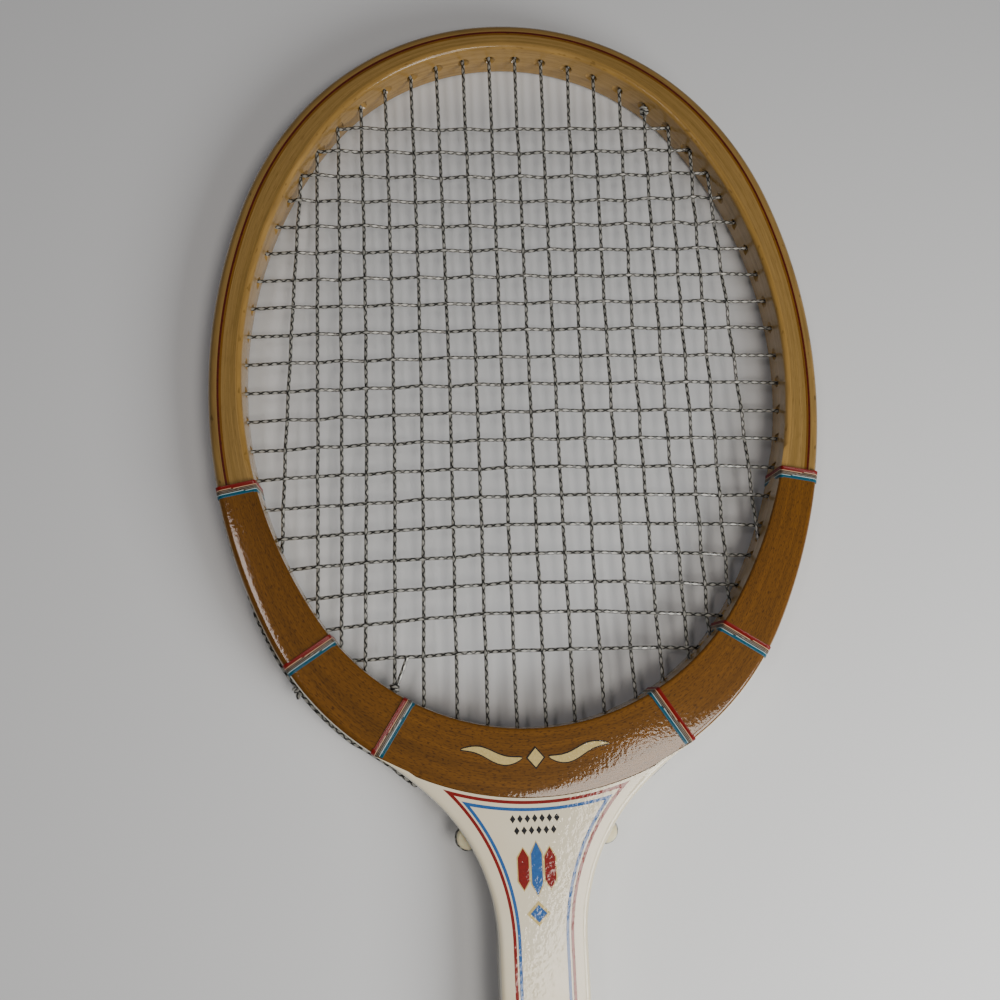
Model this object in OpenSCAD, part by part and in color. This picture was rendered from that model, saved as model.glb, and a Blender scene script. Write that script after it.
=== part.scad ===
// Laminated wooden tennis racket, full size.
// It lies flat: +Y runs from the butt to the tip of the head, +Z out of the front face.
// The origin is the centre of the flat end of the butt.

/* [Head] */
// Overall length, butt to tip of the head
racket_len = 686; // [680:1:692]
// Radius of the outer outline at the tip
tip_r = 106; // [104:0.5:108]
// Radius of the outer outline on the upper shoulders
upper_r = 128; // [124:0.5:132]
// Radius of the outer outline along the sides
side_r = 214; // [205:1:222]
// Height of the opening's tip below the tip of the frame
tip_wall = 10.7; // [10.2:0.1:11.4]
// Depth of the bare frame, front to back
frame_t = 18; // [17:0.5:19]

/* [Laminations] */
// Thickness of the outer ply
outer_t = 3.6; // [3:0.1:4]
// Thickness of the vulcanised fibre strip
fibre_t = 0.8; // [0.6:0.1:1]
// Thickness of the thin walnut ply
walnut_t = 0.8; // [0.6:0.1:1]
// Thickness of the whole bent bow
bow_t = 12.2; // [11.8:0.1:12.6]
// Thickness of the ring that lines the opening
ring_t = 2.2; // [2:0.1:2.6]
// Thickness of the overlays and facings on the front and the back
facing_t = 0.8; // [0.6:0.1:1]

/* [Throat and shaft] */
// Width of the shaft
shaft_w = 31.2; // [30.6:0.1:32]
// Radius where the throat runs into the shaft
neck_r = 68; // [64:1:72]
// Distance from the butt to the lower end of the throat wedge
wedge_y = 322; // [316:1:328]

/* [Strings] */
// Diameter of the string
string_d = 1.4; // [1.2:0.1:1.5]
// Diameter of the string holes
hole_d = 2.2; // [2:0.1:2.4]
// Pitch of the cross strings at the middle of the head
cross_pitch = 11.35; // [11.2:0.05:11.5]
// Distance from the butt to the middle of the cross strings
cross_mid_y = 541; // [540:0.5:542]

/* [Handle] */
// Distance from the butt to the top of the leather grip
grip_top = 200; // [190:1:210]
// Thickness of each handle scale
scale_t = 5; // [4.5:0.1:5.5]
// Thickness of the leather
leather_t = 1.5; // [1.2:0.1:1.8]
// Height of the butt cap
cap_h = 16; // [14:1:18]
// Wall thickness of the butt cap
cap_wall = 3.2; // [2.8:0.1:3.6]

/* [Hidden] */
$fn = 32;
over = 3;                           // how far a cutter runs past what it cuts
step_deg = 3;                       // angle between the points of a curved outline
half_t = frame_t / 2;
half_shaft = shaft_w / 2;

// Outlines are chains of tangent arcs, each [radius, sweep in degrees], run clockwise from
// the tip. A negative radius bends outwards. A state on a chain is [x, y, heading].
tip_deg = 50;
upper_deg = 20;
side_deg = 47;
side_end = tip_deg + upper_deg + side_deg;
low_end = 147;                      // heading at which the bow leaves the oval of the head
neck_deg = 45;
side_x = tip_r * sin(tip_deg) + upper_r * (sin(tip_deg + upper_deg) - sin(tip_deg))
    + side_r * (sin(side_end) - sin(tip_deg + upper_deg));
low_r = side_x / sin(side_end);
leave_x = low_r * sin(low_end);
flare_r = (leave_x - half_shaft - neck_r * (1 - cos(neck_deg)))
    / (sin(90 + neck_deg) - sin(low_end));

head_arcs = [[tip_r, tip_deg], [upper_r, upper_deg], [side_r, side_deg],
    [low_r, 180 - side_end]];
bow_arcs = [[tip_r, tip_deg], [upper_r, upper_deg], [side_r, side_deg],
    [low_r, low_end - side_end], [-flare_r, low_end - 90 - neck_deg], [-neck_r, neck_deg]];

// The opening has its own, rounder chain of arcs
hole_tip_r = 89;
hole_upper_r = 148;
hole_side_r = 170;
hole_tip_deg = 52;
hole_upper_end = 64;
hole_side_end = 123;
hole_x = hole_tip_r * sin(hole_tip_deg)
    + hole_upper_r * (sin(hole_upper_end) - sin(hole_tip_deg))
    + hole_side_r * (sin(hole_side_end) - sin(hole_upper_end));
opening_arcs = [[hole_tip_r, hole_tip_deg], [hole_upper_r, hole_upper_end - hole_tip_deg],
    [hole_side_r, hole_side_end - hole_upper_end],
    [hole_x / sin(hole_side_end), 180 - hole_side_end]];

function arc_state(s, arc, a) =
    let (r = arc[0], h = s[2] - sign(r) * a)
    [s[0] + r * (sin(s[2]) - sin(h)), s[1] - r * (cos(s[2]) - cos(h)), h];

function chain_states(s, arcs, i = 0) =
    i == len(arcs) ? [s] :
    let (n = ceil(arcs[i][1] / step_deg))
    concat([for (k = [0:n - 1]) arc_state(s, arcs[i], arcs[i][1] * k / n)],
        chain_states(arc_state(s, arcs[i], arcs[i][1]), arcs, i + 1));

head = chain_states([0, racket_len, 0], head_arcs);
opening = chain_states([0, racket_len - tip_wall, 0], opening_arcs);
bow = chain_states([0, racket_len, 0], bow_arcs);

// The points of a chain moved inwards by d, for the right half
function inset(states, d) = [for (s = states) [s[0] + d * sin(s[2]), s[1] - d * cos(s[2])]];
function reversed(v) = [for (i = [len(v) - 1:-1:0]) v[i]];
function tail(v) = [for (i = [1:len(v) - 1]) v[i]];
function mirrored(v) = [for (p = v) [-p[0], p[1]]];

// A closed oval from its right half
function oval(states, d = 0) =
    let (h = inset(states, d), left = mirrored(h))
    concat(h, [for (i = [len(h) - 2:-1:1]) left[i]]);

// One side of a bow lamination, from the left foot round the head to the right foot
function bow_line(d, foot) =
    let (h = concat(inset(bow, d), [[half_shaft - d, foot]]))
    concat(reversed(mirrored(h)), tail(h));

module bow_band(d0, d1, foot) {
    linear_extrude(frame_t, center = true)
        polygon(concat(bow_line(d0, foot), reversed(bow_line(d1, foot))));
}

// Everything above y, to cut an outline with
module above(y) {
    wide = 150;
    translate([-wide, y]) square(2 * wide);
}

// Strings: x of each main at its upper and its lower hole, on the right of the middle
main_top_x = [5.3, 16, 27, 37.4, 48, 57.8, 67.2, 75.5, 82];
main_low_x = [5.3, 16, 27, 39, 49.5, 60, 68.5, 77, 90];
last_main = len(main_top_x) - 1;
n_cross = 20;
end_gap = 0.035;                    // how much the gaps close up towards the tip
string_gap = 0.05;                  // clearance between the mains and the crosses
main_z = string_d / 2 + string_gap;
cross_z = -main_z;

function cross_y(i) =
    let (u = (n_cross - 1) / 2 - i, v = 2 * u / (n_cross - 1))
    cross_mid_y + cross_pitch * u * (1 - (u > 0 ? end_gap : 0) * pow(v, 4));

top_y = [for (s = opening) if (s[2] > -90) [s[0], s[1]]];
top_h = [for (s = opening) if (s[2] > -90) [s[0], s[2]]];
low_y = [for (s = opening) if (s[2] < -90) [s[0], s[1]]];
low_h = [for (s = opening) if (s[2] < -90) [s[0], s[2]]];
wall_x = [for (s = opening) [s[1], s[0]]];
wall_h = [for (s = opening) [s[1], s[2]]];
head_x = [for (s = head) [s[2], s[0]]];
head_y = [for (s = head) [s[2], s[1]]];
flank_y = [for (s = bow) if (s[2] < -90) [s[0], s[1]]];

// The strings turn in a groove above the upper whippings and on the surface below them
groove_end = -99;
groove_foot = 500;
groove_d = 2.2;
groove_w = 4.6;
turn_depth = 1.2;                   // depth of a string's middle in the groove
function turn_inset(h) = h > groove_end ? turn_depth : -string_d / 2 - string_gap;
function turn_point(h) =
    let (d = turn_inset(h))
    [lookup(h, head_x) + d * sin(h), lookup(h, head_y) - d * cos(h)];

// Each string end: [mouth on the wall, turning point outside]
function top_end(i) =
    let (x = main_top_x[i])
    [[x, lookup(x, top_y)], turn_point(lookup(x, top_h))];

// The inner mains run down through the wedge and come out on the flanks of the throat
flank_x = [0, 23.4, 27.6, 42, 49.6];
flank_proud = [0.5, -0.6];          // from the flank to the middle of a string lying on it
centre_turn_y = 388;
function flank_end(i) = [flank_x[i], lookup(flank_x[i], flank_y)] + flank_proud;
function low_end_of(i) =
    let (x = main_low_x[i], mouth = [x, lookup(x, low_y)])
    [mouth, i == 0 ? [x, centre_turn_y] : i < len(flank_x) ? flank_end(i)
        : turn_point(lookup(x, low_h))];

function cross_end(i) =
    let (y = cross_y(i))
    [[lookup(y, wall_x), y], turn_point(lookup(y, wall_h))];

main_tops = [for (i = [0:last_main]) top_end(i)];
main_lows = [for (i = [0:last_main]) low_end_of(i)];
cross_ends = [for (i = [0:n_cross - 1]) cross_end(i)];

// A round rod between two points of the string plane, made longer by more at each end
module rod(p, q, z, d, more = 0) {
    v = q - p;
    translate([p[0], p[1], z])
        rotate([0, 0, atan2(v[1], v[0])])
            rotate([0, 90, 0])
                translate([0, 0, -more])
                    cylinder(d = d, h = norm(v) + 2 * more);
}

module both_sides() {
    children();
    mirror([1, 0, 0]) children();
}

module string_holes() {
    both_sides() {
        for (e = main_tops) rod(e[0], e[1], main_z, hole_d, over);
        for (i = [1:last_main]) rod(main_lows[i][0], main_lows[i][1], main_z, hole_d, over);
        for (e = cross_ends) rod(e[0], e[1], cross_z, hole_d, over);
        rod(main_lows[0][0] + [0, over], main_lows[0][1] - [0, hole_d / 2], main_z, hole_d);
    }
    rod([-main_low_x[0], centre_turn_y], [main_low_x[0], centre_turn_y], main_z, hole_d);
}

// The mouths of the holes are eased so that the strings don't chafe
mouth_d = 5;
mouth_depth = 1.5;
mouth_lip = 0.4;                    // the cutter starts this far inside the opening
module eased_mouth(e, z) {
    v = e[1] - e[0];
    translate([e[0][0], e[0][1], z])
        rotate([0, 0, atan2(v[1], v[0])])
            rotate([0, 90, 0])
                translate([0, 0, -mouth_lip])
                    cylinder(d1 = mouth_d, d2 = hole_d, h = mouth_depth + mouth_lip);
}

module eased_mouths() {
    both_sides() {
        for (e = main_tops) eased_mouth(e, main_z);
        for (e = main_lows) eased_mouth(e, main_z);
        for (e = cross_ends) eased_mouth(e, cross_z);
    }
}

// Nails that hold the butt cap
nail_x = 7;
nail_d = 1.6;
nail_head_d = 3.6;
nail_head_h = 1;
nail_len = 14;
disc_t = 0.8;
disc_d = 22;
cap_floor = 3;
module nails(d) {
    for (x = [-nail_x, nail_x])
        translate([x, disc_t, 0])
            rotate([-90, 0, 0]) {
                cylinder(d = d, h = nail_len);
                cylinder(d1 = nail_head_d, d2 = d, h = nail_head_h);
            }
}

module outer_ply() {
    color("sienna")
        difference() {
            bow_band(0, outer_t, cap_floor);
            linear_extrude(groove_w, center = true)
                intersection() {
                    difference() {
                        polygon(oval(head, -over));
                        polygon(oval(head, groove_d));
                    }
                    above(groove_foot);
                }
            string_holes();
        }
}

module fibre_strip() {
    color("darkred")
        difference() {
            bow_band(outer_t, outer_t + fibre_t, cap_floor);
            string_holes();
        }
}

module walnut_ply() {
    color("saddlebrown")
        difference() {
            bow_band(outer_t + fibre_t, outer_t + fibre_t + walnut_t, cap_floor);
            string_holes();
        }
}

module ring_outside() {
    linear_extrude(frame_t + over, center = true) polygon(oval(opening, -ring_t));
}

module ash_ply() {
    color("burlywood")
        difference() {
            bow_band(outer_t + fibre_t + walnut_t, bow_t, cap_floor);
            ring_outside();
            string_holes();
            nails(nail_d);
        }
}

module inner_ring() {
    color("wheat")
        difference() {
            linear_extrude(frame_t, center = true)
                difference() {
                    polygon(oval(opening, -ring_t));
                    polygon(oval(opening));
                }
            string_holes();
            eased_mouths();
        }
}

// The wedge fills the throat and runs out in two horns between the bow and the ring
wedge_top = 500;
module throat_wedge() {
    color("peru")
        difference() {
            linear_extrude(frame_t, center = true)
                difference() {
                    polygon(bow_line(bow_t, wedge_y));
                    polygon(oval(opening, -ring_t));
                    above(wedge_top);
                }
            string_holes();
        }
}

module shaft_core() {
    color("maroon")
        translate([-half_shaft + bow_t, cap_floor, -half_t])
            cube([shaft_w - 2 * bow_t, wedge_y - cap_floor, frame_t]);
}

// Whippings sit on the frame at equal steps round the lower half of the head
whip_w = 4.6;
whip_t = 0.45;
whip_angles = [101.2, 123, 147.3];
whip_in = 40;                       // reach of a whipping's strip inside and outside the outline
whip_out = 8;
module rim(d) {
    difference() {
        polygon(oval(head, -d));
        polygon(oval(opening, d));
    }
}

module whip_strip(angle, w) {
    p = [lookup(-angle, head_x), lookup(-angle, head_y)];
    translate(p) rotate(-angle) translate([-w / 2, -whip_in]) square([w, whip_in + whip_out]);
}

module whipping(angle, side) {
    mirror([side < 0 ? 1 : 0, 0, 0])
        difference() {
            linear_extrude(frame_t + 2 * (facing_t + whip_t), center = true)
                intersection() {
                    rim(whip_t);
                    whip_strip(angle, whip_w);
                }
            linear_extrude(frame_t + 2 * facing_t, center = true)
                intersection() {
                    rim(0);
                    whip_strip(angle, whip_w + over);
                }
            mirror([side < 0 ? 1 : 0, 0, 0]) string_holes();
        }
}

module left_upper_whipping() { color("indianred") whipping(whip_angles[0], -1); }
module right_upper_whipping() { color("indianred") whipping(whip_angles[0], 1); }
module left_middle_whipping() { color("indianred") whipping(whip_angles[1], -1); }
module right_middle_whipping() { color("indianred") whipping(whip_angles[1], 1); }
module left_lower_whipping() { color("indianred") whipping(whip_angles[2], -1); }
module right_lower_whipping() { color("indianred") whipping(whip_angles[2], 1); }

// The crescent overlays end under the upper whippings
crescent_top = 496;
module crescent(z) {
    color("peru")
        translate([0, 0, z])
            linear_extrude(facing_t)
                difference() {
                    rim(0);
                    above(crescent_top);
                }
}

module front_crescent() { crescent(half_t); }
module back_crescent() { crescent(-half_t - facing_t); }

// The white facings cover the throat and the shaft, up to the lower edge of the crescents
facing_x = 52;
facing_top = 450;
facing_foot = 232;
module throat_facing(z) {
    color("ivory")
        translate([0, 0, z])
            linear_extrude(facing_t)
                intersection() {
                    difference() {
                        polygon(bow_line(0, facing_foot));
                        polygon(oval(head));
                    }
                    translate([-facing_x, 0]) square([2 * facing_x, facing_top]);
                }
}

module front_throat_facing() { throat_facing(half_t); }
module back_throat_facing() { throat_facing(-half_t - facing_t); }

module main_strings() {
    color("lightgray")
        both_sides()
            for (i = [0:last_main]) rod(main_tops[i][0], main_lows[i][0], main_z, string_d);
}

module cross_strings() {
    color("lightgray")
        for (e = cross_ends) rod([-e[0][0], e[0][1]], e[0], cross_z, string_d);
}

// A string goes out through one hole, along the frame and back through the next. The turns
// are laid out flat and given the string's width as their height.
turn_w = string_d - 0.1;
module run(p, q, more = 0) {
    v = q - p;
    translate(p)
        rotate(atan2(v[1], v[0]))
            translate([-more, -turn_w / 2])
                square([norm(v) + 2 * more, turn_w]);
}

module turn(a, b) {
    run(a[0], a[1]);
    run(b[0], b[1]);
    run(a[1], b[1], turn_w / 2);
}

// Over a saddle the string bends round a half circle
saddle_w = 7;
saddle_at = (main_lows[1][1] + main_lows[2][1]) / 2;
saddle_v = main_lows[2][1] - main_lows[1][1];
saddle_span = norm(saddle_v) / 2;

module saddle_turn() {
    run(main_lows[1][0], main_lows[1][1]);
    run(main_lows[2][0], main_lows[2][1]);
    translate(saddle_at)
        rotate(atan2(saddle_v[1], saddle_v[0]))
            difference() {
                circle(r = saddle_span + turn_w / 2);
                circle(r = saddle_span - turn_w / 2);
                translate([-saddle_w, 0]) square(2 * saddle_w);
            }
}

module flat_sides() {
    children();
    mirror([1, 0]) children();
}

module main_string_turns() {
    color("silver")
        translate([0, 0, main_z])
            linear_extrude(turn_w, center = true) {
                flat_sides() {
                    for (i = [0:2:last_main - 2]) turn(main_tops[i], main_tops[i + 1]);
                    run(main_tops[last_main][0], main_tops[last_main][1]);
                    saddle_turn();
                    for (i = [3:2:last_main - 1]) turn(main_lows[i], main_lows[i + 1]);
                    run(main_lows[0][0], main_lows[0][1]);
                }
                run([-main_low_x[0], centre_turn_y], [main_low_x[0], centre_turn_y],
                    turn_w / 2);
            }
}

module cross_string_turns() {
    color("silver")
        translate([0, 0, cross_z])
            linear_extrude(turn_w, center = true) {
                for (i = [0:2:n_cross - 2]) turn(cross_ends[i], cross_ends[i + 1]);
                mirror([1, 0]) {
                    for (i = [1:2:n_cross - 3]) turn(cross_ends[i], cross_ends[i + 1]);
                    for (i = [0, n_cross - 1]) run(cross_ends[i][0], cross_ends[i][1]);
                }
            }
}

// Knots are tied round a string just inside the opening, each with a short tail
knot_d = 3.8;
knot_l = 3.4;
top_knot = [5, 0.6];                // [main, distance from its hole]
low_knot = [4, 7];
module knot(end, other, z, gap) {
    u = (other - end) / norm(other - end);
    a = end + u * gap;
    difference() {
        rod(a, a + u * knot_l, z, knot_d);
        rod(a - u, a + u * (knot_l + 1), z, string_d);
    }
}

module string_knots() {
    color("dimgray") {
        knot(main_tops[top_knot[0]][0], main_lows[top_knot[0]][0], main_z, top_knot[1]);
        mirror([1, 0, 0])
            knot(main_lows[low_knot[0]][0], main_tops[low_knot[0]][0], main_z, low_knot[1]);
    }
}

// Cream saddles carry the turn of the inner mains on each flank of the throat
module throat_saddle() {
    color("cornsilk")
        difference() {
            translate([saddle_at[0], saddle_at[1], main_z])
                cylinder(r = saddle_span - turn_w / 2, h = saddle_w, center = true);
            linear_extrude(frame_t, center = true) polygon(bow_line(0, wedge_y));
            string_holes();
        }
}

module right_throat_saddle() { throat_saddle(); }
module left_throat_saddle() { mirror([1, 0, 0]) throat_saddle(); }

// Handle scales: flat slabs with bevelled edges that run out on to the shaft
collar_h = 8;
collar_proud = 0.6;                 // how far the collar stands above the leather
collar_top = grip_top + collar_h;
module handle_scale() {
    color("ivory")
        intersection() {
            rotate([90, 0, 90])
                linear_extrude(shaft_w, center = true)
                    polygon([[cap_floor, half_t], [facing_foot, half_t],
                        [facing_foot, half_t + facing_t], [collar_top, half_t + scale_t],
                        [cap_floor, half_t + scale_t]]);
            translate([0, cap_floor, 0])
                rotate([-90, 0, 0])
                    linear_extrude(facing_foot)
                        polygon([[-half_shaft, 0], [half_shaft, 0], [half_shaft, -half_t],
                            [half_shaft - scale_t, -half_t - scale_t],
                            [-half_shaft + scale_t, -half_t - scale_t],
                            [-half_shaft, -half_t]]);
        }
}

module front_handle_scale() { handle_scale(); }
module back_handle_scale() { mirror([0, 0, 1]) handle_scale(); }

// The eight-sided section of the handle, grown by d on every side
module octagon(d) {
    x = half_shaft + d;
    z = half_t + scale_t + d;
    c = scale_t + d * (2 - sqrt(2));
    polygon([[x, z - c], [x - c, z], [c - x, z], [-x, z - c],
        [-x, c - z], [c - x, -z], [x - c, -z], [x, c - z]]);
}

module octagon_tube(y0, y1, d_in, d_out) {
    translate([0, y1, 0])
        rotate([90, 0, 0])
            linear_extrude(y1 - y0)
                difference() {
                    octagon(d_out);
                    octagon(d_in);
                }
}

module leather_grip() { color("saddlebrown") octagon_tube(cap_h, grip_top, 0, leather_t); }

module grip_collar() {
    color("dimgray") octagon_tube(grip_top, collar_top, 0, leather_t + collar_proud);
}

module butt_cap() {
    color("whitesmoke")
        difference() {
            translate([0, cap_h, 0])
                rotate([90, 0, 0])
                    linear_extrude(cap_h) octagon(cap_wall);
            translate([0, cap_h + over, 0])
                rotate([90, 0, 0])
                    linear_extrude(cap_h + over - cap_floor) octagon(0);
            translate([0, -over, 0])
                rotate([-90, 0, 0])
                    cylinder(d = disc_d, h = disc_t + over);
            nails(nail_d);
        }
}

module butt_disc() {
    color("firebrick") rotate([-90, 0, 0]) cylinder(d = disc_d, h = disc_t);
}

module butt_nails() { color("silver") nails(nail_d); }

outer_ply();
fibre_strip();
walnut_ply();
ash_ply();
inner_ring();
throat_wedge();
shaft_core();
front_crescent();
back_crescent();
front_throat_facing();
back_throat_facing();
left_upper_whipping();
right_upper_whipping();
left_middle_whipping();
right_middle_whipping();
left_lower_whipping();
right_lower_whipping();
main_strings();
cross_strings();
main_string_turns();
cross_string_turns();
string_knots();
left_throat_saddle();
right_throat_saddle();
front_handle_scale();
back_handle_scale();
leather_grip();
grip_collar();
butt_cap();
butt_disc();
butt_nails();
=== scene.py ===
import math

import bmesh
import bpy
import numpy as np
from mathutils import Matrix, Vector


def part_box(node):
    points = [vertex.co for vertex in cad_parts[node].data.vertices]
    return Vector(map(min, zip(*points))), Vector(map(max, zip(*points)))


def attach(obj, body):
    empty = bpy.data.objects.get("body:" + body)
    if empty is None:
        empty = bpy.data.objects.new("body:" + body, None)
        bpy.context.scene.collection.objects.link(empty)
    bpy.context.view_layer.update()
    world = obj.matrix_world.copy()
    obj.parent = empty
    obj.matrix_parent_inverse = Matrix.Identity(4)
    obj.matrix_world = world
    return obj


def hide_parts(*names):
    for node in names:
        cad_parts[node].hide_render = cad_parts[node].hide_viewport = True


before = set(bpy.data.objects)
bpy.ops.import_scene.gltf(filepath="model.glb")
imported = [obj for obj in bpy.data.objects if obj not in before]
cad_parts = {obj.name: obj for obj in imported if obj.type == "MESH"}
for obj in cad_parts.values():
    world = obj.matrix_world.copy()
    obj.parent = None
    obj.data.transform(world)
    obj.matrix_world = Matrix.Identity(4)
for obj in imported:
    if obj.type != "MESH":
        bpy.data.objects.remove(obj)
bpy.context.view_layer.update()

# ---- Camera ----------------------------------------------------------------------------------
# A hand-held view straight down on the head from 40 cm above the strings, tipped a little
# towards the tip. Sizes in this file are in millimetres, and MM turns them to metres.
MM = 0.001


def linked(name, data):
    """A new object in the scene that holds the data."""
    holder = bpy.data.objects.new(name, data)
    bpy.context.scene.collection.objects.link(holder)
    return holder


camera_at = np.array([-36.97, 416.66, 398.05])
camera_tip, camera_lean, camera_roll = 10.613, -4.073, -1.630     # degrees
camera = linked("camera", bpy.data.cameras.new("camera"))
camera.data.sensor_width = 36.0
camera.data.lens = 38.505
camera.data.clip_start = 0.01
camera.matrix_world = (
    Matrix.Translation(camera_at * MM)
    @ Matrix.Rotation(math.radians(camera_tip), 4, "X")
    @ Matrix.Rotation(math.radians(camera_lean), 4, "Y")
    @ Matrix.Rotation(math.radians(camera_roll), 4, "Z")
)
bpy.context.scene.camera = camera

# ---- Bent bow: outer ply, fibre strip, walnut ply, ash ply -------------------------------------
# Four thin strips steamed, glued and bent as one bow from the left foot round the head to the
# right foot. The outer ply is maple with a groove for the string turns; a dark red fibre strip and
# a walnut strip lie between it and the main strip of honey-coloured ash. All are clear lacquered.


def arc_chain(tip_y, arcs):
    """Tangent arcs (radius, degrees) run clockwise from the tip; a minus radius bends outwards.

    Each entry is (length so far, x, y, angle of the outward normal from +Y, radius).
    """
    chain, s, x, y, angle = [], 0.0, 0.0, tip_y, 0.0
    for radius, degrees in arcs:
        chain.append((s, x, y, angle, radius))
        end = angle + math.copysign(math.radians(degrees), radius)
        x += radius * (math.sin(end) - math.sin(angle))
        y -= radius * (math.cos(angle) - math.cos(end))
        s += abs(radius) * math.radians(degrees)
        angle = end
    return chain + [(s, x, y, angle, 0.0)]


def spot(chain, s, inset=0.0):
    """The point inset inwards at length s along a chain, and its outward normal; minus is left."""
    side = -1.0 if s < 0 else 1.0
    start, x, y, angle, radius = [run for run in chain if run[0] <= abs(s) + 1e-9][-1]
    ahead = abs(s) - start
    if radius:
        end = angle + ahead / radius
        x += radius * (math.sin(end) - math.sin(angle))
        y -= radius * (math.cos(angle) - math.cos(end))
        angle = end
    else:
        x += ahead * math.cos(angle)
        y -= ahead * math.sin(angle)
    normal = np.array([side * math.sin(angle), math.cos(angle)])
    return np.array([side * x, y]) - inset * normal, normal


def length_at(chain, degrees):
    """The length along an oval's chain at which its normal has turned by so many degrees."""
    angle = math.radians(degrees)
    run = [run for run in chain if run[3] <= angle + 1e-9][-1]
    return run[0] + (angle - run[3]) * run[4]


def hex_colour(code):
    """An sRGB hex colour as linear RGBA."""
    parts = [int(code[i:i + 2], 16) / 255 for i in (0, 2, 4)]
    linear = [c / 12.92 if c <= 0.04045 else ((c + 0.055) / 1.055) ** 2.4 for c in parts]
    return (*linear, 1.0)


def add_node(tree, kind, inputs=None, **settings):
    """Adds a node with its settings; an input is a value, or a socket that is linked to it."""
    node = tree.nodes.new(kind)
    for name, value in settings.items():
        setattr(node, name, value)
    for name, value in (inputs or {}).items():
        if isinstance(value, bpy.types.NodeSocket):
            tree.links.new(value, node.inputs[name])
        else:
            node.inputs[name].default_value = value
    return node


def new_material(name, **finish):
    """A material with a Principled surface whose constant values are set on its own sockets."""
    material = bpy.data.materials.new(name)
    material.use_nodes = True
    surface = material.node_tree.nodes["Principled BSDF"]
    for socket, value in finish.items():
        surface.inputs[socket.replace("_", " ")].default_value = value
    return material, material.node_tree, surface


def shades(tree, factor, *stops, interpolation="LINEAR"):
    """Turns a factor into colours: each stop is (position, hex colour)."""
    ramp = add_node(tree, "ShaderNodeValToRGB", {"Fac": factor})
    ramp.color_ramp.interpolation = interpolation
    while len(ramp.color_ramp.elements) < len(stops):
        ramp.color_ramp.elements.new(1.0)
    for element, (position, code) in zip(ramp.color_ramp.elements, stops):
        element.position = position
        element.color = hex_colour(code)
    return ramp.outputs["Color"]


def lacquered_wood(name, pale, dark, pore, pore_mm, pores_from, follows="UV", gloss=0.07):
    """Clear lacquered wood. pore_mm is the length and width of its pores or flecks, and
    pores_from the share of the noise above which one shows. follows is UV or Object."""
    material, tree, surface = new_material(
        name, Roughness=0.42, Specular_IOR_Level=0.1, Coat_Weight=1.0, Coat_Roughness=gloss,
        Coat_IOR=1.45)
    place = add_node(tree, "ShaderNodeTexCoord").outputs[follows]
    if follows == "Object":
        place = add_node(tree, "ShaderNodeMapping",
                         {"Vector": place, "Rotation": (0, 0, -math.pi / 2)}).outputs["Vector"]

    def grain(length_mm, width_mm, detail, distortion=0.0):
        scale = (1 / (length_mm * MM), 1 / (width_mm * MM), 1 / (width_mm * MM))
        stretched = add_node(tree, "ShaderNodeMapping", {"Vector": place, "Scale": scale})
        return add_node(tree, "ShaderNodeTexNoise",
                        {"Vector": stretched.outputs["Vector"], "Scale": 1.0, "Detail": detail,
                         "Distortion": distortion}).outputs["Fac"]

    bands = grain(110, 1.7, 3.0, 0.3)         # growth rings: length and width in mm
    fibres = grain(14, 0.28, 2.0)
    pores = grain(*pore_mm, 1.0)
    wood = shades(tree, bands, (0.34, dark), (0.66, pale))
    fine = add_node(tree, "ShaderNodeMapRange",
                    {"Value": fibres, "From Min": 0.3, "From Max": 0.7, "To Min": 0.80,
                     "To Max": 1.14}).outputs["Result"]
    toned = add_node(tree, "ShaderNodeVectorMath", {0: wood, "Scale": fine}, operation="SCALE")
    fleck = add_node(tree, "ShaderNodeMapRange",
                     {"Value": pores, "From Min": pores_from, "From Max": pores_from + 0.07,
                      "To Min": 0.0, "To Max": 0.62}).outputs["Result"]
    colour = add_node(tree, "ShaderNodeMix",
                      {"Factor": fleck, "A": toned.outputs["Vector"], "B": hex_colour(pore)},
                      data_type="RGBA")
    tree.links.new(colour.outputs["Result"], surface.inputs["Base Color"])
    relief = add_node(tree, "ShaderNodeBump",
                      {"Height": fibres, "Strength": 0.25, "Distance": 0.02 * MM})
    tree.links.new(relief.outputs["Normal"], surface.inputs["Normal"])
    tree.links.new(lacquer_skin(tree), surface.inputs["Coat Normal"])
    return material


def lacquer_skin(tree, size_mm=1.2, depth_mm=0.03):
    """The orange peel of brushed lacquer as a bumped normal, on Object coordinates."""
    place = add_node(tree, "ShaderNodeTexCoord").outputs["Object"]
    peel = add_node(tree, "ShaderNodeTexNoise",
                    {"Vector": place, "Scale": 1 / (size_mm * MM), "Detail": 2.0})
    skin = add_node(tree, "ShaderNodeBump",
                    {"Height": peel.outputs["Fac"], "Strength": 1.0, "Distance": depth_mm * MM})
    return skin.outputs["Normal"]


def mottled(name, cloud_mm, detail, *stops, skin=None, over="Coat Normal", **finish):
    """A finish whose colour clouds at a real size. skin is the (size, depth) of its bumps, which
    lie in the coat or, where there is none, in the surface's own Normal."""
    material, tree, surface = new_material(name, **finish)
    place = add_node(tree, "ShaderNodeTexCoord").outputs["Object"]
    cloud = add_node(tree, "ShaderNodeTexNoise",
                     {"Vector": place, "Scale": 1 / (cloud_mm * MM), "Detail": detail})
    tree.links.new(shades(tree, cloud.outputs["Fac"], *stops), surface.inputs["Base Color"])
    if skin:
        tree.links.new(lacquer_skin(tree, *skin), surface.inputs[over])
    return material


def rework(mesh, *steps):
    """Runs steps on an editable copy of a mesh and writes it back."""
    work = bmesh.new()
    work.from_mesh(mesh)
    for step in steps:
        step(work)
    work.to_mesh(mesh)
    work.free()


def merge_doubles(work):
    """Joins points that lie together."""
    bmesh.ops.remove_doubles(work, verts=work.verts, dist=0.002 * MM)
    bmesh.ops.dissolve_degenerate(work, edges=work.edges, dist=0.001 * MM)


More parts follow.
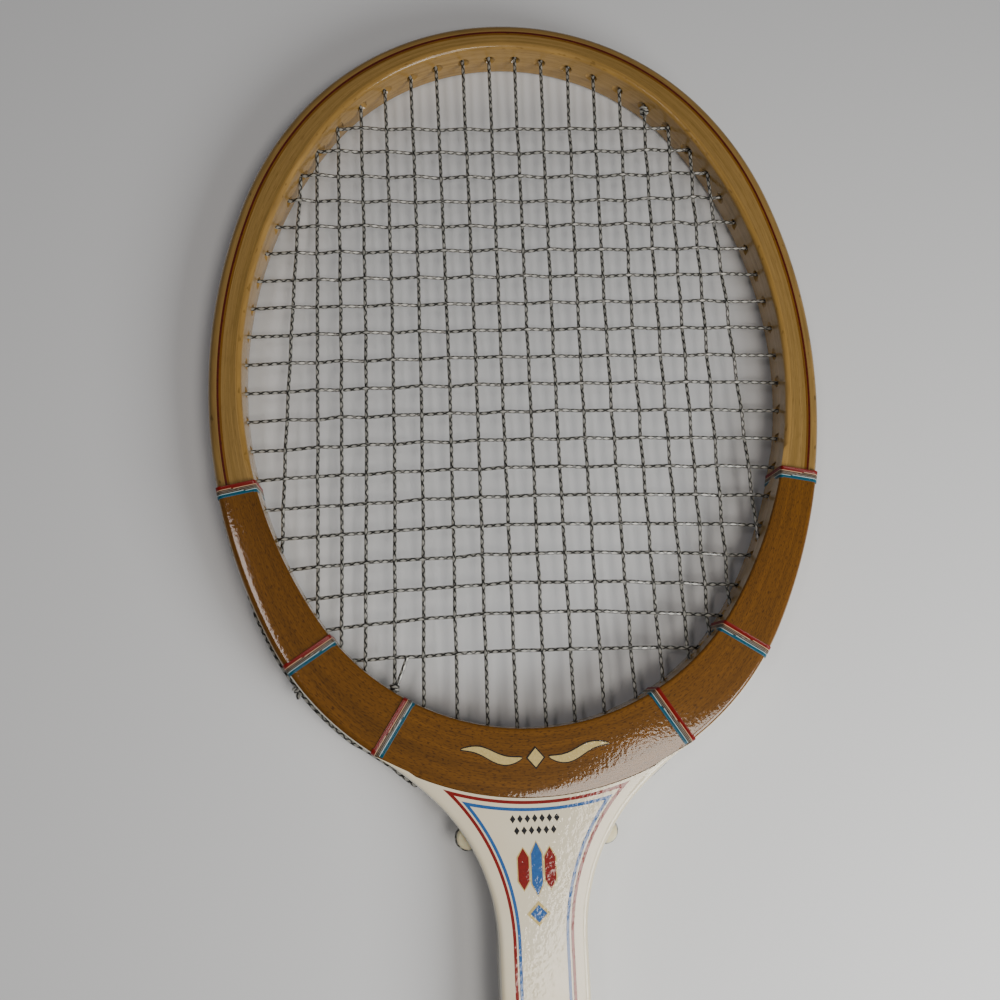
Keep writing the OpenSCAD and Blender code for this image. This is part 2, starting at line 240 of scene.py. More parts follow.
def face_outwards(work):
    """Turns every face outwards."""
    bmesh.ops.recalc_face_normals(work, faces=work.faces)


crease_angle = math.radians(38)       # a steeper edge stays sharp


def add_piece(name, mesh, material=None):
    """Links a mesh as a piece at the origin, turns its faces outwards and smooths it."""
    rework(mesh, merge_doubles, face_outwards)
    mesh.polygons.foreach_set("use_smooth", [True] * len(mesh.polygons))
    mesh.set_sharp_from_angle(angle=crease_angle)
    if material:
        mesh.materials.clear()
        mesh.materials.append(material)
    return linked(name, mesh)


def fasten(piece, slot, *nodes):
    """The piece rides on the racket and stands for CAD nodes, which are hidden. slot is not used.
    """
    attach(piece, "root")
    if nodes:
        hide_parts(*nodes)


def mesh_of(points, faces):
    """A mesh from points in mm."""
    mesh = bpy.data.meshes.new("shape")
    mesh.from_pydata((np.array(points).reshape(-1, 3) * MM).tolist(), [], faces)
    return mesh


def shell(rows, lengths, loop=False):
    """A closed skin over rows of profile points in mm, as a mesh with a UV map in metres:
    u runs along the rows by lengths and v round the first row's profile."""
    rows = np.array(rows)
    count, around = rows.shape[:2]
    ring = np.vstack([rows[0], rows[0][:1]])
    across = np.concatenate([[0.0], np.cumsum(np.linalg.norm(np.diff(ring, axis=0), axis=1))])
    faces, uvs = [], []
    for i in range(count if loop else count - 1):
        following = (i + 1) % count
        for j in range(around):
            k = (j + 1) % around
            faces.append((i * around + j, following * around + j,
                          following * around + k, i * around + k))
            uvs += [(lengths[i], across[j]), (lengths[i + 1], across[j]),
                    (lengths[i + 1], across[j + 1]), (lengths[i], across[j + 1])]
    if not loop:
        for start in (0, (count - 1) * around):
            faces.append(tuple(range(start, start + around)))
            uvs += [(lengths[0], v) for v in across[:-1]]
    mesh = mesh_of(rows, faces)
    mesh.uv_layers.new(name="UVMap").data.foreach_set("uv", (np.array(uvs) * MM).ravel())
    return mesh


tip_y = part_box("outer_ply")[1].y / MM
half_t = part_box("outer_ply")[1].z / MM                   # half the depth of the bare frame
half_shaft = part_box("front_handle_scale")[1].x / MM
foot_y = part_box("outer_ply")[0].y / MM
facing_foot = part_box("front_throat_facing")[0].y / MM
overlay_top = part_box("front_crescent")[1].z / MM

head_arcs = [(106, 50), (128, 20), (214, 47)]
side_end, leave_deg, neck_deg, neck_r = 117, 147, 45, 68
side_x = arc_chain(tip_y, head_arcs)[-1][1]
low_r = side_x / math.sin(math.radians(side_end))
leave_x = low_r * math.sin(math.radians(leave_deg))
flare_r = ((leave_x - half_shaft - neck_r * (1 - math.cos(math.radians(neck_deg))))
           / (math.sin(math.radians(90 + neck_deg)) - math.sin(math.radians(leave_deg))))
head = arc_chain(tip_y, head_arcs + [(low_r, 180 - side_end)])
bow = arc_chain(tip_y, head_arcs + [(low_r, leave_deg - side_end),
                                    (-flare_r, leave_deg - 90 - neck_deg), (-neck_r, neck_deg)])
low_centre = np.array([0.0, head[-1][2] + low_r])

# The opening has its own chain of arcs, and the ring that lines it is ring_t thick
tip_wall, ring_t = 10.7, 2.2
opening_arcs = [(89, 52), (148, 12), (170, 59)]
opening_end = 123
opening_x = arc_chain(tip_y, opening_arcs)[-1][1]
opening = arc_chain(tip_y - tip_wall, opening_arcs + [
    (opening_x / math.sin(math.radians(opening_end)), 180 - opening_end)])

whip_degrees = (101.2, 123, 147.3)
overlay_start = length_at(head, whip_degrees[0])
shaft_start = bow[-1][0]
facing_end = shaft_start + bow[-1][2] - facing_foot
bow_end = shaft_start + bow[-1][2] - foot_y

# Radius of the outer edge and the height it starts from: bare head, under overlays, handle
edge_spots = [overlay_start - 1, overlay_start + 1, facing_end - 1, facing_end + 1]
edge_radii = [2.9, 2.2, 2.2, 0.4]
edge_sag = 0.06                      # the overlays' faces are lower by this at their outer edge
edge_tops = [half_t, overlay_top - edge_sag, overlay_top - edge_sag, half_t]


def round_over(radius, top, start, end, steps):
    """(depth, height) along part of a quarter round: angle 0 is the face and 90 the side."""
    return [(radius * (1 - math.sin(a)), top - radius * (1 - math.cos(a)))
            for a in np.linspace(start, end, steps)]


def eased_edge(radius, top):
    """A rounded edge from the height of the bare face down to the side."""
    return round_over(radius, top, math.acos(1 - max(0.0, top - half_t) / radius), math.pi / 2, 6)


def both_halves(upper):
    """A profile from its upper half: (depth, height) points and their mirror image below."""
    return upper + [(d, -z) for d, z in reversed(upper)]


bow_step = 3.0
bow_spots = np.linspace(-bow_end, bow_end, int(2 * bow_end / bow_step))


def bow_ply(profile_at):
    """Sweeps a profile of (depth, height) points, given by length, from foot to foot."""
    rows = []
    for s in bow_spots:
        point, normal = spot(bow, s)
        rows.append([[*(point - d * normal), z] for d, z in profile_at(abs(s))])
    return shell(rows, bow_spots + bow_end)


outer_t, fibre_t, walnut_t, bow_t = 3.6, 0.8, 0.8, 12.2
groove_deg, groove_fade, groove_d, groove_w = 99, 14.0, 2.2, 4.6
groove_end = length_at(head, groove_deg)


def outer_profile(s):
    """The outer ply: rounded at both faces, with the groove for the string turns."""
    radius = np.interp(s, edge_spots, edge_radii)
    top = np.interp(s, edge_spots, edge_tops)
    groove = np.interp(s, [groove_end - groove_fade, groove_end], [groove_d, 0.0])
    return both_halves([(outer_t, half_t)] + eased_edge(radius, top)
                       + [(0.0, groove_w / 2 + 0.3), (groove, groove_w / 2 - 0.2)])


def half_outline(outset):
    """The right half of the opening's outline, moved out towards the frame."""
    return np.array([spot(opening, s, -outset)[0] for s in np.linspace(0, opening[-1][0], 300)])


def depth_to(outline, outer, normal, shallow, deep):
    """How far inwards from a point of the outline of the frame a half outline is met."""
    def inside(point):
        if not outline[-1][1] < point[1] < outline[0][1]:
            return False
        return abs(point[0]) < np.interp(-point[1], -outline[:, 1], outline[:, 0])

    if not inside(outer - deep * normal):
        return deep
    for _ in range(20):
        middle = (shallow + deep) / 2
        if inside(outer - middle * normal):
            deep = middle
        else:
            shallow = middle
    return shallow


ring_outline = half_outline(ring_t)


def ash_depth(s):
    """How deep the bow reaches: to the ring round the head, and its full thickness below."""
    outer, normal = spot(bow, s)
    return depth_to(ring_outline, outer, normal, outer_t + fibre_t + walnut_t, bow_t)


def strip_profile(d0, d1):
    """A flat strip from depth d0 to d1, as deep as the frame."""
    return [(d0, half_t), (d1, half_t), (d1, -half_t), (d0, -half_t)]


# Strings: x of each main at its upper and lower hole, and the height of each cross
main_top_x = [5.3, 16, 27, 37.4, 48, 57.8, 67.2, 75.5, 82]
main_low_x = [5.3, 16, 27, 39, 49.5, 60, 68.5, 77, 90]
half_mains = len(main_top_x)
cross_count, cross_pitch, cross_middle, end_gap = 20, 11.35, 541, 0.035
string_r, string_gap = 0.7, 0.05
main_z, cross_z = string_r + string_gap, -string_r - string_gap
flank_exit_x = {1: 23.4, 2: 27.6, 3: 42, 4: 49.6}
flank_proud = np.array([0.5, -0.6])
centre_turn_y, turn_depth = 388, 1.2

opening_samples = [(s, *spot(opening, s)[0]) for s in np.linspace(0, opening[-1][0], 600)]
opening_widest = max(opening_samples, key=lambda sample: sample[1])[0]
upper_samples = np.array([q for q in opening_samples if q[0] <= opening_widest])
lower_samples = np.array([q for q in opening_samples if q[0] >= opening_widest])
every_sample = np.array(opening_samples)
flank_lengths = np.linspace(length_at(head, 92), bow_end, 800)
flank_samples = np.array([spot(bow, s)[0] for s in flank_lengths])


def turn_point(s):
    """Where a string turns outside the frame, level with length s of the opening."""
    degrees = math.degrees(math.atan2(*np.abs(spot(opening, s)[1][[0]]), spot(opening, s)[1][1]))
    inset = turn_depth if degrees < groove_deg else -string_r - string_gap
    return spot(head, length_at(head, degrees), inset)[0]


def top_end(i):
    """The mouth of a main's upper hole and the point where the string turns behind it."""
    s = np.interp(main_top_x[i], upper_samples[:, 1], upper_samples[:, 0])
    return spot(opening, s)[0], turn_point(s)


def low_end(i):
    """The same for a main's lower hole. The middle ones run through the throat."""
    s = np.interp(-main_low_x[i], -lower_samples[:, 1], lower_samples[:, 0])
    mouth = spot(opening, s)[0]
    if i == 0:
        return mouth, np.array([mouth[0], centre_turn_y])
    if i in flank_exit_x:
        y = np.interp(-flank_exit_x[i], -flank_samples[:, 0], flank_samples[:, 1])
        return mouth, np.array([flank_exit_x[i], y]) + flank_proud
    return mouth, turn_point(s)


def cross_end(i):
    """The same for a cross. The upper ones lie a little closer together."""
    from_middle = (cross_count - 1) / 2 - i
    share = 2 * from_middle / (cross_count - 1)
    y = cross_middle + cross_pitch * from_middle * (1 - max(0.0, share) ** 4 * end_gap)
    s = np.interp(-y, -every_sample[:, 2], every_sample[:, 0])
    return spot(opening, s)[0], turn_point(s)


main_tops = [top_end(i) for i in range(half_mains)]
main_lows = [low_end(i) for i in range(half_mains)]
cross_ends = [cross_end(i) for i in range(cross_count)]
MIRROR = np.array([-1.0, 1.0])

# Each hole is drilled 2.2 mm and its mouth is eased to a trumpet: (distance, radius)
hole_sides, hole_r, drill_past = 16, 1.1, 3.0
trumpet = [(-1.2, 3.0), (-0.4, 2.55), (0.3, 1.8), (0.9, 1.3), (1.6, hole_r)]


def drill(name, ends, z):
    """One mesh with a trumpet-mouthed drill for each (mouth, turning point), left and right."""
    verts, faces = [], []
    for mouth, turning in ends + [(m * MIRROR, t * MIRROR) for m, t in ends]:
        reach = np.linalg.norm(turning - mouth)
        along = (turning - mouth) / reach
        aside = np.array([-along[1], along[0]])
        base = len(verts)
        for distance, radius in trumpet + [(reach + drill_past, hole_r)]:
            for k in range(hole_sides):
                angle = 2 * math.pi * k / hole_sides
                flat = mouth + distance * along + radius * math.cos(angle) * aside
                verts.append([*flat, z + radius * math.sin(angle)])
        rings = len(trumpet) + 1
        for i in range(rings - 1):
            for k in range(hole_sides):
                a, b = base + i * hole_sides, base + (i + 1) * hole_sides
                following = (k + 1) % hole_sides
                faces.append((a + k, a + following, b + following, b + k))
        faces.append(tuple(base + k for k in reversed(range(hole_sides))))
        faces.append(tuple(base + (rings - 1) * hole_sides + k for k in range(hole_sides)))
    mesh = mesh_of(verts, faces)
    rework(mesh, face_outwards)
    cutter = linked(name, mesh)
    cutter.hide_render = True
    return cutter


drills = [drill("main_drill", main_tops + main_lows, main_z),
          drill("cross_drill", cross_ends, cross_z)]


def plain_mesh(shaped):
    """The shape of an object with modifiers, as a mesh of its own. The object is removed."""
    bpy.context.view_layer.update()
    mesh = bpy.data.meshes.new_from_object(
        shaped.evaluated_get(bpy.context.evaluated_depsgraph_get()))
    bpy.data.objects.remove(shaped)
    return mesh


def drilled(mesh):
    """The mesh with every string hole cut through it."""
    rework(mesh, face_outwards)
    blank = linked("blank", mesh)
    for cutter in drills:
        cut = blank.modifiers.new("cut", "BOOLEAN")
        cut.operation = "DIFFERENCE"
        cut.solver = "EXACT"
        cut.object = cutter
    return plain_mesh(blank)


# Maple stained brown, with the throat's white paint carried up its side to the middle whippings
maple = lacquered_wood("stained_maple_lacquered", "947742", "806434", "4a3414", (4.0, 0.3), 0.66)
paint_y = spot(head, length_at(head, whip_degrees[1]))[0][1] * MM


def paint_below(material, top_y, code):
    """Covers the lower end of a wood with off-white paint under the same lacquer."""
    tree = material.node_tree
    surface = tree.nodes["Principled BSDF"]
    wood = surface.inputs["Base Color"].links[0].from_socket
    place = add_node(tree, "ShaderNodeTexCoord").outputs["Object"]
    height = add_node(tree, "ShaderNodeSeparateXYZ", {"Vector": place}).outputs["Y"]
    painted = add_node(tree, "ShaderNodeMath", {0: height, 1: top_y}, operation="LESS_THAN")
    cover = add_node(tree, "ShaderNodeMix",
                     {"Factor": painted.outputs["Value"], "A": wood, "B": hex_colour(code)},
                     data_type="RGBA")
    tree.links.new(cover.outputs["Result"], surface.inputs["Base Color"])


paint_below(maple, paint_y, "d9d3c0")
fasten(add_piece("outer_ply_bent", drilled(bow_ply(outer_profile)), maple), "maple", "outer_ply")

# Vulcanised fibre is dense and even, with only a faint mottle. Ash is pale honey under the
# lacquer, with long even streaks and fine open pores.
fibre = mottled("vulcanised_fibre_red", 1.5, 3.0, (0.3, "421004"), (0.7, "581607"), Roughness=0.4,
                Specular_IOR_Level=0.1, Coat_Weight=1.0, Coat_Roughness=0.08)
walnut = lacquered_wood("walnut_veneer_lacquered", "7c5414", "684410", "3a2206", (3.0, 0.25), 0.62)
ash = lacquered_wood("ash_lacquered", "967843", "866a36", "664c20", (5.0, 0.22), 0.62)
fibre_end = outer_t + fibre_t
walnut_end = fibre_end + walnut_t
for ply_name, material, slot, ply_profile in (
        ("fibre_strip", fibre, "fibre", lambda s: strip_profile(outer_t, fibre_end)),
        ("walnut_ply", walnut, "walnut", lambda s: strip_profile(fibre_end, walnut_end)),
        ("ash_ply", ash, "ash", lambda s: strip_profile(walnut_end, ash_depth(s)))):
    ply = add_piece(ply_name + "_bent", drilled(bow_ply(ply_profile)), material)
    fasten(ply, slot, ply_name)

# ---- Inner ring --------------------------------------------------------------------------------
# A thin ash strip bent round the opening and glued to the bow and the wedge. Its inner edges are
# rounded, its face is slightly crowned, and every string hole has an eased mouth.
ring_radius, overlay_radius, ring_crown, crown_reach = 1.5, 1.1, 0.25, 7.0
ring_overlay_start = length_at(opening, whip_degrees[0])
ring_swap = [ring_overlay_start - 1, ring_overlay_start + 1]


def ring_profile(s):
    """The ring: rounded edges, higher under the overlays, and a slightly hollow crown inside."""
    radius = np.interp(s, ring_swap, [ring_radius, overlay_radius])
    top = np.interp(s, ring_swap, [half_t, overlay_top])
    crown = [(-ring_crown * (1 - (z / crown_reach) ** 2), z) for z in (6.0, 4.0, 2.0, 0.7)]
    return both_halves([(ring_t, half_t)] + eased_edge(radius, top) + crown)


ring_length = opening[-1][0]
loop_spots = np.linspace(-ring_length, ring_length, 400, endpoint=False)
ring_rows = []
for s in loop_spots:
    point, normal = spot(opening, s)
    ring_rows.append([[*(point + d * normal), z] for d, z in ring_profile(abs(s))])
ring_mesh = shell(ring_rows, np.append(loop_spots, ring_length) + ring_length, loop=True)
ring_ash = lacquered_wood("ash_ring_lacquered", "a6844a", "957438", "6b5020", (4.0, 0.22), 0.62,
                          gloss=0.16)
fasten(add_piece("inner_ring_bent", drilled(ring_mesh), ring_ash), "ash", "inner_ring")

# ---- Throat wedge and shaft core ---------------------------------------------------------------
# Solid blocks glued between the legs of the bow; the facings and the crescents cover them. The
# CAD solids have their true shape and are drilled, so they stay and only take their wood.
wedge_beech = lacquered_wood("beech_block", "a87c4a", "8a6034", "5c3c1c", (2.0, 0.3), 0.60,
                             follows="Object", gloss=0.3)
core_walnut = lacquered_wood("walnut_core", "74502c", "55371b", "38200e", (3.0, 0.3), 0.60,
                             follows="Object", gloss=0.3)


def finish_node(node_name, material):
    """Gives a CAD node that stays its material."""
    for material_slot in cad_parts[node_name].material_slots:
        material_slot.material = material


finish_node("throat_wedge", wedge_beech)
finish_node("shaft_core", core_walnut)

# ---- Crescents ---------------------------------------------------------------------------------
# Thin beech overlays glued to the front and the back of the lower half of the head, stained
# reddish brown. Short dark flecks follow the bend, and the thick gloss is slightly crowned.
crescent_beech = lacquered_wood("stained_beech_gloss", "744b13", "64400f", "331c07", (1.9, 0.2),
                                0.56, gloss=0.05)
edge_radius, square_radius = edge_radii[1], 0.25
crown_middle, crown_d = 6.5, 0.06     # the face is highest this far in, and falls both ways
edge_reach, edge_fall = 3.2, 0.2      # and drops more towards its outer edge
crescent_half = 180 - whip_degrees[0]
opening_outline = half_outline(0.0)


def face_height(d):
    """Height of a crescent's face at a depth from its outer edge."""
    return (overlay_top - crown_d * (d / crown_middle - 1) ** 2
            - edge_fall * max(0.0, 1 - d / edge_reach) ** 2)


def overlay_edge(radius, top):
    """The part of an eased edge that lies in the overlay, from its foot up to the face."""
    arc = round_over(radius, top, math.acos(max(0.0, 1 - (top - half_t) / radius)), 0, 5)
    return [(arc[0][0], half_t)] + arc


def across(degrees, side):
    """A line straight across the frame: outer end, inward direction and length."""
    outer, normal = spot(head, side * length_at(head, degrees))
    return outer, -normal, depth_to(opening_outline, outer, normal, 5.0, 30.0)


def crescent_row(degrees_from_foot, flip):
    """One profile straight across the crescent. Its outer edge is square above the facing."""
    side = -1.0 if degrees_from_foot < 0 else 1.0
    degrees = 180 - abs(degrees_from_foot)
    outer, inward, width = across(degrees, side)
    radius = np.interp(degrees, [leave_deg - 1, leave_deg + 2], [edge_radius, square_radius])
    row = [[*(outer + d * inward), z] for d, z in overlay_edge(radius, face_height(radius))]
    for d in np.linspace(radius, width - overlay_radius, 9)[1:-1]:
        row.append([*(outer + d * inward), face_height(d)])
    sunk = (face_height(width - overlay_radius) - half_t) / (overlay_top - half_t)
    row += [[*(outer + (width - d) * inward), half_t + (z - half_t) * sunk]
            for d, z in reversed(overlay_edge(overlay_radius, overlay_top))]
    return [[x, y, z * flip] for x, y, z in row]


crescent_degrees = np.linspace(-crescent_half, crescent_half, 141)
foot_length = length_at(head, 180)
crescent_along = [math.copysign(foot_length - length_at(head, 180 - abs(d)), d)
                  for d in crescent_degrees]
FACES = (("front", 1.0), ("back", -1.0))
for face_name, flip in FACES:
    crescent_rows = [crescent_row(degrees, flip) for degrees in crescent_degrees]
    crescent_lengths = np.array(crescent_along) + 300 + 40 * flip    # other grain on the back
    crescent = add_piece(face_name + "_crescent_veneer", shell(crescent_rows, crescent_lengths),
                         crescent_beech)
    fasten(crescent, "beech", face_name + "_crescent")

# ---- Throat facings ----------------------------------------------------------------------------
# Thin facings over the throat and the shaft, front and back, sprayed off-white and lacquered. The
# gloss has yellowed a little, and brush marks and dust nibs show where light falls on it.
shaft_top = 362                       # where the flanks have closed in to the straight shaft
centre_start = np.interp(-shaft_top, -flank_samples[:, 1], flank_lengths)
leave_start = length_at(head, leave_deg)
facing_spots = np.sort(np.append(np.linspace(leave_start + 0.5, facing_end, 90), centre_start))
facing_skin = 0.05                    # the facing's rounded edge starts this far above its foot


def facing_inner(s):
    """The other end of the line across the facing from length s of the bow: along the crescent,
    then down the middle of the shaft."""
    if s <= centre_start:
        share = (s - leave_start) / (centre_start - leave_start)
        return spot(head, length_at(head, leave_deg + share * (180 - leave_deg) - 1e-6))[0]
    share = (s - centre_start) / (facing_end - centre_start)
    return np.array([0.0, head[-1][2] * (1 - share) + facing_foot * share])


def plate(name, tops, faces, base_z, material):
    """A thin solid from a top surface of points in mm, with its foot at height base_z."""
    def thicken(work):
        bmesh.ops.remove_doubles(work, verts=work.verts, dist=0.001 * MM)
        foot = bmesh.ops.extrude_face_region(work, geom=work.faces[:])
        for item in foot["geom"]:
            if isinstance(item, bmesh.types.BMVert):
                item.co.z = base_z * MM

    mesh = mesh_of(tops, faces)
    rework(mesh, thicken)
    return add_piece(name, mesh, material)


def grid_faces(rows, columns):
    """The faces of a grid of points kept row by row."""
    return [(i * columns + j, (i + 1) * columns + j, (i + 1) * columns + j + 1, i * columns + j + 1)
            for i in range(rows - 1) for j in range(columns - 1)]


def facing_rows(side, flip):
    """Points over half a facing: its rounded edge, then straight across to the inner line."""
    rows = []
    edge = overlay_edge(edge_radius, overlay_top - edge_sag)[1:]
    edge[0] = (edge[0][0], half_t + facing_skin)
    for s in facing_spots:
        outer, normal = spot(bow, s)
        inner = facing_inner(s)
        shrink = min(1.0, 0.8 * np.linalg.norm(outer - inner) / edge_radius)
        row = [[*(outer - d * shrink * normal), z] for d, z in edge]
        start = outer - edge_radius * shrink * normal
        for share in (0.06, 0.3, 0.55, 0.8, 1.0):
            row.append([*(start + share * (inner - start)), overlay_top])
        rows += [[side * x, y, flip * z] for x, y, z in row]
    return rows


brushed_skin = (1.8, 0.05)            # the brush marks' spacing and depth
white = mottled("white_lacquered_wood", 35, 4.0, (0.3, "e2d6b4"), (0.5, "e7dcc0"), (0.75, "ebe3cc"),
                skin=brushed_skin, Roughness=0.35, Specular_IOR_Level=0.1, Coat_Weight=1.0,
                Coat_Roughness=0.05)

for face_name, flip in FACES:
    right, left = facing_rows(1.0, flip), facing_rows(-1.0, flip)
    half_faces = grid_faces(len(facing_spots), len(right) // len(facing_spots))
    both_faces = half_faces + [tuple(v + len(right) for v in face) for face in half_faces]
    facing = plate(face_name + "_throat_facing_sheet", right + left, both_faces, flip * half_t,
                   white)
    fasten(facing, "white_lacquer", face_name + "_throat_facing")

# ---- Line borders, rules and lozenges ----------------------------------------------------------
# Thin transfers laid on the white facings and on the front crescent under the last coat of
# lacquer: a red and a blue border line, plain lozenges and rules, and a pair of gold leaves.


def transfer(name, low, high):
    """A screen-printed transfer: an even colour with a faint grain, under gloss."""
    return mottled(name, 0.6, 2.0, (0.35, low), (0.65, high), skin=brushed_skin, Roughness=0.4,
                   Specular_IOR_Level=0.1, Coat_Weight=1.0, Coat_Roughness=0.05)


print_red = transfer("transfer_red", "76100e", "861511")
print_blue = transfer("transfer_blue", "225796", "2a62a3")
print_black = transfer("transfer_black", "15171a", "202226")
print_gold = transfer("transfer_gold", "c3ad6c", "d0bb7c")
line_w, line_foot_y, print_t = 1.1, facing_foot + 4, 0.03


def border_outline(inset, drop):
    """Up the right flank, along below the crescent and down the left flank."""
    near, far = leave_start, shaft_start
    for _ in range(40):
        middle = (near + far) / 2
        gap = np.linalg.norm(spot(bow, middle, inset)[0] - low_centre)
        near, far = (middle, far) if gap < low_r + drop else (near, middle)
    foot = shaft_start + bow[-1][2] - line_foot_y
    flank = np.array([spot(bow, s, inset)[0] for s in np.linspace(foot, near, 70)])
    reach = math.atan2(flank[-1][0], low_centre[1] - flank[-1][1])
    top = [low_centre + (low_r + drop) * np.array([math.sin(a), -math.cos(a)])
           for a in np.linspace(reach, -reach, 50)[1:-1]]
    return np.vstack([flank, top, flank[::-1] * MIRROR])


# Each line's name, distance in from the flank and below the crescent, and ink
border_lines = (("red", 5.6, 1.5, print_red), ("blue", 7.25, 3.9, print_blue))
for face_name, flip in FACES:
    for line_name, inset, drop, ink in border_lines:
        outside = border_outline(inset - line_w / 2, drop - line_w / 2)
        inside = border_outline(inset + line_w / 2, drop + line_w / 2)
        z = flip * (overlay_top + print_t)
        points = [[*p, z] for p in outside] + [[*p, z] for p in inside]
        count = len(outside)
        strip = [(i, i + 1, count + i + 1, count + i) for i in range(count - 1)]
        line = plate(f"{face_name}_{line_name}_line", points, strip,
                     flip * (overlay_top - print_t), ink)
        fasten(line, "white_lacquer")


def flat_mark(name, outline, ink, lift=print_t, slot="white_lacquer"):
    """A flat printed shape on the front face from its outline."""
    points = [[x, y, overlay_top + lift] for x, y in outline]
    mark = plate(name, points, [tuple(range(len(points)))], overlay_top - print_t, ink)
    fasten(mark, slot)


def lozenge(x, y, half_w, half_h, shoulder=0.55):
    """A tall lozenge with straight sides and pointed ends."""
    s = half_h * shoulder
    return [(x, y - half_h), (x + half_w, y - s), (x + half_w, y + s), (x, y + half_h),
            (x - half_w, y + s), (x - half_w, y - s)]


emblem_x, emblem_y, diamond_y = -1.3, 358.5, 343.6
for mark_name, shift, half_h, ink in (
        ("left", -4.7, 7.0, print_red), ("middle", 0, 9.0, print_blue),
        ("right", 4.7, 7.0, print_red)):
    x = emblem_x + shift
    flat_mark(f"{mark_name}_lozenge_edge", lozenge(x, emblem_y, 2.3, half_h + 0.5), print_gold)
    flat_mark(f"{mark_name}_lozenge", lozenge(x, emblem_y, 1.9, half_h), ink, 2 * print_t)
flat_mark("small_diamond_edge", lozenge(emblem_x, diamond_y, 4.2, 4.2, 0), print_gold)
flat_mark("small_diamond", lozenge(emblem_x, diamond_y, 2.9, 2.9, 0), print_blue, 2 * print_t)
for row_name, y, count in (("upper", 375.4, 7), ("lower", 371.4, 6)):
    for k in range(count):
        x = emblem_x + 2.6 * (k - (count - 1) / 2)
        flat_mark(f"{row_name}_row_diamond_{k + 1}", lozenge(x, y, 1.0, 1.45, 0), print_black)


def leaf(inner_deg, outer_deg, middle_r, half_w, swing, side, grow=0.0):
    """A slim leaf bent round the head's low centre, from near the middle outwards."""
    low, high = [], []
    for u in np.linspace(0, 1, 25):
        angle = math.radians(inner_deg + u * (outer_deg - inner_deg))
        thick = half_w * math.sin(math.pi * u) ** 0.7 * (1.15 - 0.5 * u) + grow
        line = middle_r + swing * math.sin(2 * math.pi * u)
        for points, r in ((low, line + thick), (high, line - thick)):
            points.append(low_centre + r * np.array([side * math.sin(angle), -math.cos(angle)]))
    return low + high[::-1]


leaf_r, leaf_from, leaf_to = 90.6, 3.0, 17.0
SIDES = (("left", -1.0), ("right", 1.0))
for leaf_name, side in SIDES:
    for edge_name, grow, ink, lift in (("_leaf_edge", 0.4, print_black, print_t),
                                       ("_leaf", 0.0, print_gold, 2 * print_t)):
        shape = leaf(leaf_from, leaf_to, leaf_r, 1.7, 1.2, side, grow)
        flat_mark(leaf_name + edge_name, shape, ink, lift, "beech")
leaf_y = low_centre[1] - leaf_r
flat_mark("crescent_diamond_edge", lozenge(0, leaf_y, 3.4, 4.0, 0), print_black, print_t, "beech")
flat_mark("crescent_diamond", lozenge(0, leaf_y, 2.8, 3.3, 0), print_gold, 2 * print_t, "beech")

# ---- Whippings ---------------------------------------------------------------------------------
# Six bindings of fine thread wound tight round the frame at even steps: five turns of red, then
# cream, brown and grey turns, one pale blue and four teal, all soaked with clear lacquer.


def strand_tree():
    """Sweeps a round strand along each line, keeping the length, the share of it and the way
    round as attributes for the material."""
    tree = bpy.data.node_groups.new("strand", "GeometryNodeTree")
    for name, kind in (("Geometry", "NodeSocketGeometry"), ("Radius", "NodeSocketFloat"),
                       ("Sides", "NodeSocketInt"), ("Material", "NodeSocketMaterial")):
        tree.interface.new_socket(name, in_out="INPUT", socket_type=kind)
    tree.interface.new_socket("Geometry", in_out="OUTPUT", socket_type="NodeSocketGeometry")
    given = add_node(tree, "NodeGroupInput").outputs
    measure = add_node(tree, "GeometryNodeSplineParameter").outputs
    path = given["Geometry"]
    for name in ("Length", "Factor"):
        store = add_node(tree, "GeometryNodeStoreNamedAttribute", data_type="FLOAT", domain="POINT")
        tree.links.new(path, store.inputs["Geometry"])
        store.inputs["Name"].default_value = name.lower()
        tree.links.new(measure[name], store.inputs["Value"])
        path = store.outputs["Geometry"]
    section = add_node(tree, "GeometryNodeCurvePrimitiveCircle",
                       {"Resolution": given["Sides"], "Radius": given["Radius"]})
    position = add_node(tree, "GeometryNodeInputPosition").outputs["Position"]
    heading = add_node(tree, "ShaderNodeVectorMath", {0: position}, operation="NORMALIZE")
    round_it = add_node(tree, "GeometryNodeStoreNamedAttribute",
                        {"Geometry": section.outputs["Curve"], "Name": "around",
                         "Value": heading.outputs["Vector"]},
                        data_type="FLOAT_VECTOR", domain="POINT")
    body = add_node(tree, "GeometryNodeCurveToMesh",
                    {"Curve": path, "Profile Curve": round_it.outputs["Geometry"],
                     "Fill Caps": True})
    real = add_node(tree, "GeometryNodeRealizeInstances", {"Geometry": body.outputs["Mesh"]})
    coated = add_node(tree, "GeometryNodeSetMaterial",
                      {"Geometry": real.outputs["Geometry"], "Material": given["Material"]})
    add_node(tree, "NodeGroupOutput", {"Geometry": coated.outputs["Geometry"]})
    return tree


strand = strand_tree()


def grown(name, lines, **inputs):
    """Sweeps strands along lines of points in mm and keeps the result as a plain mesh."""
    curve = bpy.data.curves.new(name + "_lines", "CURVE")
    curve.dimensions = "3D"
    for line in lines:
        line = np.array(line) * MM
        spline = curve.splines.new("POLY")
        spline.points.add(len(line) - 1)
        spline.points.foreach_set("co", np.hstack([line, np.ones((len(line), 1))]).ravel())
    source = linked(name + "_lines", curve)
    growth = source.modifiers.new("growth", "NODES")
    growth.node_group = strand
    for item in strand.interface.items_tree:
        if item.in_out == "INPUT" and item.name in inputs:
            growth[item.identifier] = inputs[item.name]
    return add_piece(name, plain_mesh(source))


